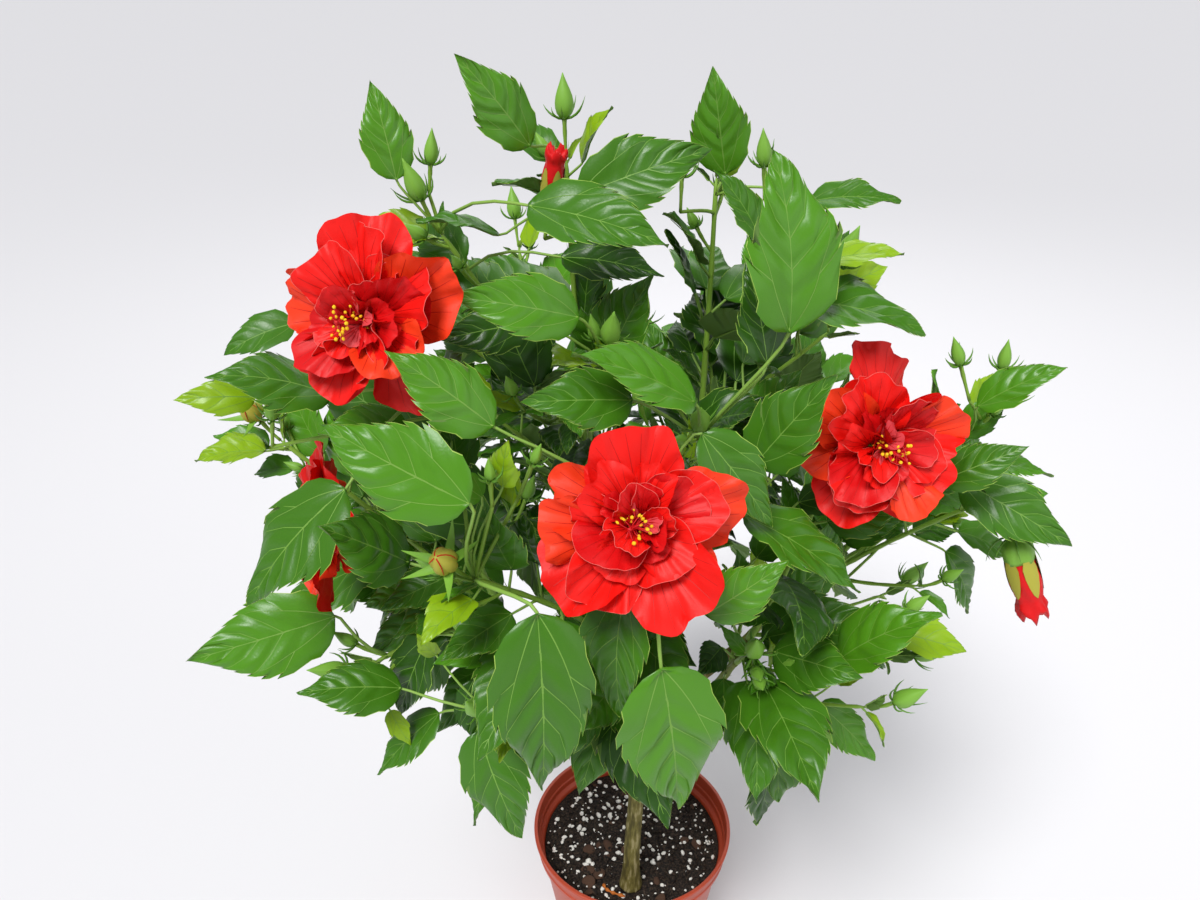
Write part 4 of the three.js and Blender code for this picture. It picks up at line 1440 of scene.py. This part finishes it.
# Petals rolled up in a calyx, just opening or closing after flowering.
def addFlowerBud(root, way, spec, seed):
    neck, direction = budAxis(root, way, spec)
    stalk = Bend(root, root + way * spec["stalk"] * 0.7, neck)
    addTube(budStalks, stalk.points(8), np.linspace(1.1, 1.5, 9), 8)
    t = np.array((0, 0.03, 0.08, 0.14, 0.2, 0.26, 0.3))
    shape = np.array((0.25, 0.5, 0.82, 0.98, 1.0, 0.98, 0.97))

    def at(share):
        return neck + direction * (np.asarray(share) * spec["length"])[..., None]

    addTube(calyxes, at(t), shape * spec["radius"] * 0.86, 20, lobed)
    addBracts(neck, direction, spec["length"] * 0.55, spec["radius"], seed)
    random = seeded(seed * 3 + 1)
    for k in range(5):  # pointed lobes, laid along the petals
        away = around(direction, 72 * k + 8 * random())
        across = np.cross(direction, away)
        rows = []
        for share, wide, out in calyxLobe:
            centre = at(share) + away * spec["radius"] * out
            reach = across * spec["radius"] * 0.42 * wide
            inward = away * spec["radius"] * 0.12 * wide
            rows.append((centre - reach - inward, centre, centre + reach - inward))
        foldedPetals.add(np.array(rows), gridFaces(6, 3))
        foldedPetals.add(np.array(rows) - away * 0.3, gridFaces(6, 3)[:, ::-1])
    share = np.linspace(rolledPetals["foot"], 1.0, rolledPetals["rows"])[:, None]
    a = np.linspace(0, 2 * math.pi, rolledPetals["sides"] + 1)[None, :-1]
    twisted = a + rolledPetals["twist"] * share
    lobes = 1 + (0.1 + 0.16 * np.clip(share * 2 - 1, 0, 1)) * np.abs(np.sin(2.5 * twisted))
    swell = np.interp(share, (0.15, 0.3, 0.55, 0.8, 0.94, 1.0), (0.5, 0.7, 0.8, 0.62, 0.78, 0.62))
    ridges = rolledPetals["ridge"] * np.sin(15 * twisted)
    reach = spec["radius"] * swell * (lobes + ridges)
    jagged = np.sin(5 * twisted + seed) + 0.5 * np.sin(11 * a)
    jagged = rolledPetals["jag"] * np.clip(share * 4 - 3, 0, 1) * jagged
    one, other = around(direction, 0), np.cross(direction, around(direction, 0))
    ring = reach[..., None] * (np.cos(a)[..., None] * one + np.sin(a)[..., None] * other)
    ring = ring + at(share + jagged)
    ends = at(rolledPetals["foot"])[None], at(rolledPetals["heart"])[None]
    points = np.concatenate((ring.reshape(-1, 3), *ends))
    petalHeaps["crimson"].add(points, *ringsFaces(rolledPetals["rows"], rolledPetals["sides"]))


petalLook = {
    "rows": 14,
    "columns": 45,
    "spread": 50,  # half of the fan at the claw
    "ridge": 0.16,
    "streak": 1.0,
    "ruffle": 4.4,
    "crinkle": 1.5,
    "thickness": 0.35,
    "rim": 0.32,
    # width of the dark lines of painted wrinkle shade
    "vein": 0.5,
    "lean": 20,
    "innerLean": 24,
}
moreRings = [  # petals that double the outer ones, and the crumpled ones at the heart
    {"petals": 5, "length": 43, "width": 33, "open": 60, "rise": 3, "turn": 13, "arch": 30, "roll": -22},
    {"petals": 4, "length": 31, "width": 23, "open": 50, "rise": 6, "turn": 70, "arch": 34, "roll": -30},
    {"petals": 5, "length": 22, "width": 14, "open": 38, "rise": 10, "turn": 52, "arch": 40, "roll": 44},
    {"petals": 5, "length": 15, "width": 9, "open": 26, "rise": 14, "turn": 20, "arch": 40, "roll": -50},
]
# The orange-red shade that some outer petals get is partly painted light shining through them.
moreShades = (("scarlet", "flame"), ("scarlet",), ("crimson", "scarlet"), ("blush", "crimson"))
ringShades = (("scarlet", "flame", "scarlet"), ("scarlet", "crimson"), ("crimson", "scarlet"))
petalHeaps = {shade: Heap() for shade in ("scarlet", "crimson", "flame", "blush")}
petalCreaseShadeLines, rims, columns, anthers = Heap(), Heap(), Heap(), Heap()


def petalFrame(centre, axis, row, index, random):
    away = around(axis, row["turn"] + 360 * index / row["petals"] + 8 * (random() - 0.5))
    opened = math.radians(row["open"] + 8 * (random() - 0.5))
    direction = axis * math.cos(opened) + away * math.sin(opened)
    return {
        "root": centre + axis * row["rise"] + away * 1.5,
        "direction": direction,
        "face": turned(squared(axis, direction), direction, row["roll"]),
        "length": row["length"] * (0.92 + 0.16 * random()),
        "arch": row["arch"],
    }


def petalSheet(frame, width, seed, crumpled):  # rows of points from the claw to the edge, and their normals
    random = seeded(seed)
    rows = petalLook["rows"] if width > 12 else 9
    count = petalLook["columns"] if width > 20 else 21
    s, v = np.meshgrid(np.linspace(0, 1, rows) ** 0.85, np.linspace(-1, 1, count), indexing="ij")
    waves, first, second, third = 1.2 + 1.0 * random(), random(), random(), random()
    length = frame["length"]
    size = length / 50
    # The outline is a distance from the claw at each angle, so that the ridges fan out from the claw.
    notch, cut = 1.3 * random() - 0.65, 0.16 * random() ** 2
    edge = 1 - 0.6 * np.abs(v) ** 2.7 - cut * np.exp(-(((v - notch) / 0.13) ** 2))
    broad = 0.035 * np.sin(math.pi * (2.2 * v + 2 * third))
    small = 0.015 * np.sin(math.pi * (5 * v + 2 * first))
    edge = edge * (1 + broad + small)
    angle = math.radians(petalLook["spread"]) * v * (0.35 + 0.65 * s**0.5) * width / length / 0.84
    reach = s * edge * length
    along, out = reach * np.cos(angle), reach * np.sin(angle)
    a = math.radians(frame["arch"])
    t = along / length
    d, f = frame["direction"], frame["face"]
    side = unit(np.cross(d, f))
    # what lifts the petal: ruffles, crinkles, soft lumps, a cup across it, wrinkles and fine ribs
    ruffle = petalLook["ruffle"] * (1 + crumpled) * size * s**2.4
    rise = ruffle * np.sin(math.pi * (waves * v + 2 * first)) * (0.4 + 0.6 * np.abs(v))
    crinkle = (petalLook["crinkle"] + 0.8 * crumpled) * size
    rise += crinkle * s**4 * np.sin(math.pi * (4.2 * v + 2 * second))
    rise += crinkle * 0.5 * s**9 * np.sin(math.pi * (9 * v + 2 * third))
    place = np.stack((out * 2.4, along, out * 0 + seed), -1)
    rise += size * s**2 * (0.9 * softNoise(place, 9.0, 2) + 0.6 * s**3 * softNoise(place, 4.0, 5))
    rise += (0.4 + 1.1 * random()) * (0.12 + 0.2 * crumpled) * out**2 / (width / 2)
    wrinkles = softNoise(np.stack((angle * 30, s * 20, s * 0 + seed), -1), 2.6, 7)
    rise += petalLook["streak"] * size**0.5 * np.clip(3 * s, 0, 1) * wrinkles
    ribs = np.sin(math.pi / 2 * np.arange(count)) * (0.5 + (np.arange(count) * 7 % 5) / 4)
    rise += petalLook["ridge"] * np.clip(3 * s, 0, 1) * ribs[None, :]
    bend = a * t
    normal = f * np.cos(bend)[..., None] + d * np.sin(bend)[..., None]
    centre = frame["root"] + length / a * (d * np.sin(bend)[..., None] - f * (1 - np.cos(bend))[..., None])
    return centre + side * out[..., None] + normal * rise[..., None], normal


def addPetal(frame, width, heap, seed, crumpled, rimmed):
    points, normal = petalSheet(frame, width, seed, crumpled)
    rows, count = points.shape[:2]
    heap.add(points, gridFaces(rows, count))
    few = np.arange(0, count, 2)
    inner = np.ones((rows, len(few)))
    inner[:, (0, -1)] = 0
    inner[-1] = 0
    lower = points[:, few] - normal[:, few] * (petalLook["thickness"] * inner)[..., None]
    heap.add(lower, gridFaces(rows, len(few))[:, ::-1])
    for column in range(4, count - 3, 4 if count > 30 else 3):  # dark lines that fan out from the claw, along the veins, as painted shade of the petal's fine wrinkles
        lines = slice(rows // 3, rows - 1)
        addVein(petalCreaseShadeLines, points[lines, column], normal[lines, column], petalLook["vein"])
    if rimmed:  # the pale thickened edge
        line = np.concatenate((points[rows // 2 :, 0], points[-1, 1:-1], points[rows // 2 :, -1][::-1]))
        addTube(rims, line, petalLook["rim"] / 2, 4)


def unlike(frame, random, amount):  # each petal stands a little differently
    axis = frame["direction"]
    tilt = around(axis, 360 * random())
    bent = turned(axis, tilt, amount * random())
    face = turned(squared(frame["face"], bent), bent, amount * (random() - 0.5))
    return dict(frame, direction=bent, face=face)


stamens = {"count": 38, "columnLength": 29, "lean": 5, "columnRadii": (2.0, 0.8)}


def addStamens(centre, axis, random):
    tip = centre + axis * stamens["columnLength"] + around(axis, 360 * random()) * stamens["lean"]
    line = Bend(centre + axis * 2, centre + axis * 18, tip)
    addTube(columns, line.points(8), np.linspace(*stamens["columnRadii"], 9), 10)
    for k in range(stamens["count"]):
        t = 0.4 + 0.6 * random()
        root, way = line.at(t), line.way(t)
        away = around(way, goldenAngle * k + 60 * random())
        end = root + away * (2.5 + 6 * random()) + way * (5 * random() - 1)
        addTube(columns, np.array((root, (root + end) / 2 + way * 0.4, end)), (0.3, 0.25, 0.2), 4)
        ball = np.array((end - away * 0.9, end - away * 0.5, end, end + away * 0.5, end + away * 0.9))
        addTube(anthers, ball, np.array((0.25, 0.65, 0.8, 0.65, 0.25)) * (0.7 + 0.6 * random()), 7)


def addBloom(one, mass, end, way, number):
    centre, axis = one["centre"], one["axis"]
    foot = centre - axis * (bloom["cupLength"] - 2)
    stalk = Bend(end, end + way * 10, foot)
    addTube(budStalks, stalk.points(8), np.linspace(1.3, 1.6, 9), 8)
    t = np.array((-20, -18.5, -15, -10, -4, 2, 5))
    shape = np.array((2.4, 4.2, 6.4, 7.5, 7.2, 6.2, 5.4))
    addTube(calyxes, centre + axis * t[:, None], shape, 20, lobed)
    addBracts(centre - axis * 19, axis, 22, 5, number * 11 + 2)
    random, vary = seeded(mass["seed"]), seeded(mass["seed"] * 29 + number)
    for ring, shades in zip(bloom["rings"], ringShades):
        for i in range(ring["petals"]):
            frame = unlike(petalFrame(centre, axis, ring, i, random), vary, petalLook["lean"])
            frame["length"] *= 0.88 + 0.2 * vary()
            width = ring["width"] * (0.8 + 0.26 * vary())
            seed = number * 1009 + i * 13 + int(ring["length"])
            rimmed = ring["length"] < 45 and vary() < 0.6
            addPetal(frame, width, petalHeaps[shades[i % len(shades)]], seed, 0.25, rimmed)
    for ring, shades in zip(moreRings, moreShades):
        for i in range(ring["petals"]):
            frame = unlike(petalFrame(centre, axis, ring, i, vary), vary, petalLook["innerLean"])
            seed = number * 2003 + i * 17 + int(ring["length"])
            rimmed = vary() < 0.5
            crumpled = 0.8 if 20 < ring["length"] < 30 else 0.4
            addPetal(frame, ring["width"], petalHeaps[shades[i % len(shades)]], seed, crumpled, rimmed)
    addStamens(centre, axis, vary)


def nearestSpot(point):
    t = np.linspace(0.3, 1, 24)
    spots = np.concatenate([shoot.at(t) for grown in growth for shoot in grown["shoots"]])
    return spots[int(np.argmin(np.linalg.norm(spots - point, axis=1)))]


# What ends each main shoot, and every other side shoot.
number = 0
for grown in growth:
    mass = grown["mass"]
    for i, (tip, shoot) in enumerate(zip(mass["tips"], mass["shoots"])):
        end, way = shoot.at(1), shoot.way(1)
        number += 1
        if tip["ends"] == "bloom":
            addBloom(next(one for one in blooms if one["tip"] is tip), mass, end, way, number)
        elif (mass["name"], i) in starBuds["at"]:
            addStarBud(end, way, buds["bud"], number)
        elif tip["ends"] == "bud":
            addBud(end, way, buds["bud"], number)
        else:
            addFlowerBud(end, way, buds[tip["ends"]], number)
        if tip["ends"] == "bud":
            addSmallBuds(shoot, number * 41)
    for i, side in enumerate(grown["sides"]):
        if i == 0 or i % 2:
            grow = 1 if i == 0 else 0.7
            spec = dict(buds["bud"], length=buds["bud"]["length"] * grow, radius=buds["bud"]["radius"] * grow)
            addBud(side.at(1), side.way(1), spec, number * 7 + i)


def addPlacedStalk(foot, root, radii):  # from the nearest shoot to the foot of a bud's own stalk
    nearest = nearestSpot(foot)
    line = Bend(nearest, nearest + unit(root - nearest) * 6, foot).points(5)
    addTube(budStalks, line, np.linspace(*radii, 6), 7)
    return float(np.linalg.norm(root - foot))


for index, (foot, root) in enumerate(placedBuds):
    foot, root = np.array(foot, float), np.array(root, float)
    length = mix(*smallBuds["length"], seeded(index + 900)())
    stalk = addPlacedStalk(foot, root, (1.2, 1.0))
    spec = {"length": length * 1.15, "radius": length * smallBuds["share"], "stalk": stalk, "drop": 0.0}
    addBud(foot, unit(root - foot), spec, 500 + index)
foot, root, tip = (np.array(openingBud[key], float) for key in ("foot", "root", "tip"))
spec = dict(buds["opening"], stalk=addPlacedStalk(foot, root, (1.4, 1.15)), drop=0.0)
addFlowerBud(foot, unit(tip - foot), spec, openingBud["seed"])
for shade, heap in petalHeaps.items():
    makeFoliage("petals" + shade.capitalize(), heap, shade)
makeFoliage("petalCreaseShadeLines", petalCreaseShadeLines, "petalCreaseShade")
makeFoliage("petalRims", rims, "rim")
makeFoliage("stamenColumns", columns, "column")
makeFoliage("anthers", anthers, "anther")
makeFoliage("calyxes", calyxes, "calyx")
makeFoliage("bracts", bracts, "bract")
makeFoliage("foldedPetals", foldedPetals, "budPetal")
makeFoliage("flowerStalks", budStalks, "green")
print("blooms and buds made")

barkLook = {
    "sides": 64,
    "boughSides": 24,
    "step": 1.3,
    "ridge": 0.3,
    "grain": (2.2, 2.2, 16),
    "lenticel": 0.45,
    "lenticelSize": 3.2,
}


def barkRelief(points, strength):
    stretched = points / np.array(barkLook["grain"])
    ridges = softNoise(stretched, 1.0, 3) + 0.5 * softNoise(stretched, 0.45, 4)
    spots = softNoise(points * (1, 1, 1.6), barkLook["lenticelSize"], 8)
    spots = np.clip(spots - 0.55, 0, 1) * 4
    return strength * (barkLook["ridge"] * ridges + barkLook["lenticel"] * spots)


def addBark(heap, centres, radii, sides, strength=1.0):
    rough = Heap()
    addTube(rough, centres, radii, sides)
    points = rough.points[0]
    spine = np.concatenate((np.repeat(centres, sides, 0), centres[:1], centres[-1:]))
    away = points - spine
    reach = np.linalg.norm(away, axis=1, keepdims=True)
    outward = np.where(reach > 0.5, away / np.maximum(reach, 0.5), 0)
    heap.add(points + outward * barkRelief(points, strength)[:, None], *rough.faces)


def trunkRadius(t):
    flare = np.exp(-t * 16) * (trunk["footRadius"] - trunk["lowRadius"])
    knuckle = np.exp(-(((t - 0.93) / 0.075) ** 2)) * (trunk["headRadius"] - trunk["highRadius"])
    return mix(trunk["lowRadius"], trunk["highRadius"], t) + flare + knuckle


def makeLimbs():
    stem = Heap()
    length = trunkCurve.length()
    t = np.linspace(0, 1, int(length / barkLook["step"]))
    radii = trunkRadius(t) - 2 * np.clip((t - 0.985) / 0.015, 0, 1)
    addBark(stem, trunkCurve.at(t), radii, barkLook["sides"])
    makePiece("stem", stem, finishes["bark"], ["trunk"])
    limbs = Heap()
    for index, row in enumerate(boughs):
        curve = boughCurve(row, index)
        t = np.linspace(0.02, 1, int(row["length"] / barkLook["step"] / 1.5))
        radii = mix(bough["rootRadius"], bough["tipRadius"], t) + 1.6 * np.exp(-((t / 0.09) ** 2))
        radii = radii + 0.5 * np.exp(-(((t - 0.97) / 0.03) ** 2))
        addBark(limbs, curve.at(t), radii, barkLook["boughSides"], 0.8)
    makePiece("limbs", limbs, finishes["bark"], ["bough_" + row["name"] for row in boughs])


makeLimbs()
print("stem and boughs made")

pot = {
    "height": 145,
    "rimRadius": 82.5,
    "bandHeight": 19,
    "bandRadius": 79.5,
    "bodyRadius": 76.5,
    "footRadius": 57,
    "wall": 1.8,
    "floor": 2.2,
    "sides": 144,
    "drainRadius": 6,
    "drainRing": 43,
    "drains": 6,
    "edge": 0.8,  # radius of the rounded edges
}
soil = {
    "top": 125,
    "gap": 0.3,
    "swell": 2.2,
    "rings": 52,
    "sides": 180,
    "curl": (-24, -46),
}
# What lies on the mix: flat is how thick each grain is for its width, sink how deep it sits.
grainKeys = ("count", "sizes", "flat", "sink", "seed", "finish")
grains = {
    "peatCrumbs": (1100, (1.2, 5.0), 0.7, 0.25, 11, "peat"),
    "perlite": (460, (1.2, 4.2), 0.85, 0.1, 12, "perlite"),
    "barkChips": (26, (4, 10), 0.25, 0.0, 13, "chips"),
}


def potInside(height):
    collar = pot["height"] - pot["bandHeight"]
    share = (height - pot["floor"]) / (collar - pot["floor"])
    return mix(pot["footRadius"], pot["bodyRadius"], share) - pot["wall"]


def rounded(corners, radius):  # a profile with each sharp corner turned into a short arc
    made = [corners[0]]
    for before, here, after in zip(corners, corners[1:], corners[2:]):
        before, here, after = map(np.array, (before, here, after))
        reach = min(radius, 0.4 * np.linalg.norm(before - here), 0.4 * np.linalg.norm(after - here))
        arc = Bend(here + unit(before - here) * reach, here, here + unit(after - here) * reach)
        made += [tuple(p) for p in arc.points(3)]
    return made + [corners[-1]]


def makePot():
    collar = pot["height"] - pot["bandHeight"]
    lip = pot["rimRadius"]
    low = pot["footRadius"] + (pot["bodyRadius"] - pot["footRadius"]) * 0.04
    profile = [
        (pot["drainRing"] + pot["drainRadius"] + 3, 0),
        (pot["footRadius"], 0),
        (low, collar * 0.04),
        (pot["bodyRadius"], collar),
        (pot["bandRadius"], collar),
        (pot["bandRadius"] + 0.9, collar + 5.5),
        (pot["bandRadius"] + 0.2, collar + 6.3),
        (lip - 1.4, pot["height"] - 4),
        (lip, pot["height"] - 3),
        (lip, pot["height"]),
        (lip - 3, pot["height"]),
        (pot["bandRadius"] - pot["wall"] + 0.9, collar + 9),
        (pot["bandRadius"] - pot["wall"] - 0.2, collar + 8),
        (pot["bandRadius"] - pot["wall"], collar + 3),
        (potInside(collar), collar),
        (potInside(pot["floor"]), pot["floor"]),
        (pot["drainRing"] + pot["drainRadius"] + 3, pot["floor"]),
    ]
    profile = np.array(rounded(profile, pot["edge"]))
    a = np.arange(pot["sides"]) / pot["sides"] * 2 * math.pi
    rings = np.stack(
        (
            profile[:, 0, None] * np.cos(a),
            profile[:, 0, None] * np.sin(a),
            np.repeat(profile[:, 1, None], len(a), 1),
        ),
        -1,
    )
    heap = Heap()
    heap.add(rings, gridFaces(len(profile), pot["sides"], loop=True)[:, ::-1])
    addPotFloor(heap)
    piece = makePiece("nurseryPot", heap, finishes["pot"], ["pot"])
    piece.data.set_sharp_from_angle(angle=math.radians(38))


def addPotFloor(heap):  # two discs with drain holes, joined round each hole
    outer = pot["drainRing"] + pot["drainRadius"] + 3
    sector = 360 / pot["drains"]
    steps = 24
    for k in range(pot["drains"]):
        middle = math.radians(sector * (k + 0.5))
        centre = np.array((math.cos(middle), math.sin(middle))) * pot["drainRing"]
        inner, border = [], []
        for j in range(steps):
            angle = 2 * math.pi * j / steps
            ray = np.array((math.cos(angle), math.sin(angle)))
            inner.append(centre + pot["drainRadius"] * ray)
            border.append(sectorBorder(centre, ray, middle, math.radians(sector / 2), outer))
        flat = np.array(inner + border)
        low = np.column_stack((flat, np.zeros(len(flat))))
        high = np.column_stack((flat, np.full(len(flat), pot["floor"])))
        faces = gridFaces(2, steps, loop=True)
        heap.add(low, faces)
        heap.add(high, faces[:, ::-1])
        heap.add(np.concatenate((low[:steps], high[:steps])), faces[:, ::-1])


def sectorBorder(start, ray, middle, half, outer):  # where a ray leaves a slice of the floor
    b = start @ ray
    best = -b + math.sqrt(b * b - start @ start + outer * outer)
    for edge in (middle - half, middle + half):
        normal = np.array((-math.sin(edge), math.cos(edge)))
        along = ray @ normal
        if abs(along) > 1e-9:
            t = -(start @ normal) / along
            if t > 0:
                best = min(best, t)
    return start + ray * best


def soilHeight(x, y):
    points = np.stack((x, y, np.zeros_like(x)), -1)
    lumps = softNoise(points, 14, 5) * 0.5 + softNoise(points, 5, 6) * 0.35 + softNoise(points, 2.2, 7) * 0.25
    return soil["top"] - 1.6 + soil["swell"] * 0.7 * lumps


def makeSoil():
    low = pot["floor"] + soil["gap"]
    wide = potInside(soil["top"]) - soil["gap"]
    radii = np.concatenate((np.linspace(0.5, wide - 1.2, soil["rings"]), (wide - 0.4,)))
    a = np.arange(soil["sides"]) / soil["sides"] * 2 * math.pi
    r, b = np.meshgrid(radii, a, indexing="ij")
    x, y = r * np.cos(b), r * np.sin(b)
    z = soilHeight(x, y)
    tops = np.stack((x, y, z), -1)[::-1]
    foot = []
    for height in (soil["top"] - 8, soil["top"] * 0.5, low):
        reach = potInside(height) - soil["gap"]
        foot.append(np.stack((reach * np.cos(a), reach * np.sin(a), np.full(len(a), height)), -1))
    rings = np.concatenate((np.array(foot)[::-1], tops))
    heap = Heap()
    points = np.concatenate((rings.reshape(-1, 3), [(0, 0, low), (0, 0, float(tops[-1, :, 2].mean()))]))
    heap.add(points, *ringsFaces(len(rings), len(a)))
    makePiece("peat", heap, finishes["peat"], ["potting_mix"])


def stoneShape(seed, detail):  # a rough closed lump about 1 across, as points and faces
    corners = np.array([(0, 0, 1), (1, 0, 0), (0, 1, 0), (-1, 0, 0), (0, -1, 0), (0, 0, -1)], float)
    faces = [(0, 1, 2), (0, 2, 3), (0, 3, 4), (0, 4, 1), (5, 2, 1), (5, 3, 2), (5, 4, 3), (5, 1, 4)]
    for _ in range(detail - 1):
        points, made, known = list(corners), [], {}
        for face in faces:
            middles = []
            for i in range(3):
                pair = tuple(sorted((face[i], face[(i + 1) % 3])))
                if pair not in known:
                    known[pair] = len(points)
                    points.append(unit((corners[pair[0]] + corners[pair[1]]) / 2))
                middles.append(known[pair])
            a, b, c = face
            ab, bc, ca = middles
            made += [(a, ab, ca), (ab, b, bc), (ca, bc, c), (ab, bc, ca)]
        corners, faces = np.array(points), made
    rough = 1 + 0.3 * softNoise(corners, 0.8, seed)
    return corners * rough[:, None] / 2, np.array(faces)


def scatter(heap, grain, shapes):
    random, flat = seeded(grain["seed"]), grain["flat"]
    for k in range(grain["count"]):
        size = mix(*grain["sizes"], random() ** 2)
        reach = (potInside(soil["top"]) - 2.5 - size / 2) * math.sqrt(random())
        angle = 2 * math.pi * random()
        x, y = reach * math.cos(angle), reach * math.sin(angle)
        points, faces = shapes[k % len(shapes)]
        axis = unit(vec(random() - 0.5, random() - 0.5, 1.2))
        spin = around(axis, 360 * random())
        basis = np.stack((spin, np.cross(axis, spin), axis))
        stretch = np.array((1 + 0.5 * random(), 0.8 + 0.3 * random(), flat * (0.7 + 0.6 * random())))
        away = math.hypot(x - trunk["foot"][0], y - trunk["foot"][1])
        if away < trunk["footRadius"] + size * 0.4:
            continue
        z = float(soilHeight(np.array(x), np.array(y))) + size * flat * (0.5 - grain["sink"])
        placed = (points * stretch * size) @ basis + vec(x, y, z)
        placed[:, 2] = np.minimum(placed[:, 2], soil["top"] + 5)
        heap.add(placed, faces)


def makeCrumbs():
    lumps = [stoneShape(k, 2) for k in range(9)]
    slabs = [stoneShape(k + 20, 3) for k in range(7)]
    for name, values in grains.items():
        heap, grain = Heap(), dict(zip(grainKeys, values))
        scatter(heap, grain, slabs if name == "barkChips" else lumps)
        makePiece(name, heap, finishes[grain["finish"]], ["potting_mix"])
    curl = Heap()
    x, y = map(float, soil["curl"])
    foot = vec(x, y, float(soilHeight(np.array(x), np.array(y))))
    line = Bend(foot + vec(0, 0, 2), foot + vec(1, -9, 6), foot + vec(8, -8, 2), foot + vec(17, -11, 2))
    addTube(curl, line.points(18), 1.1 + 0.5 * np.sin(np.arange(19) * 1.3), 7)
    makePiece("driedCurl", curl, finishes["curl"], ["potting_mix"])


makePot()
makeSoil()
makeCrumbs()
print("pot and potting mix made")

bpy.context.scene.view_settings.view_transform = "Standard"
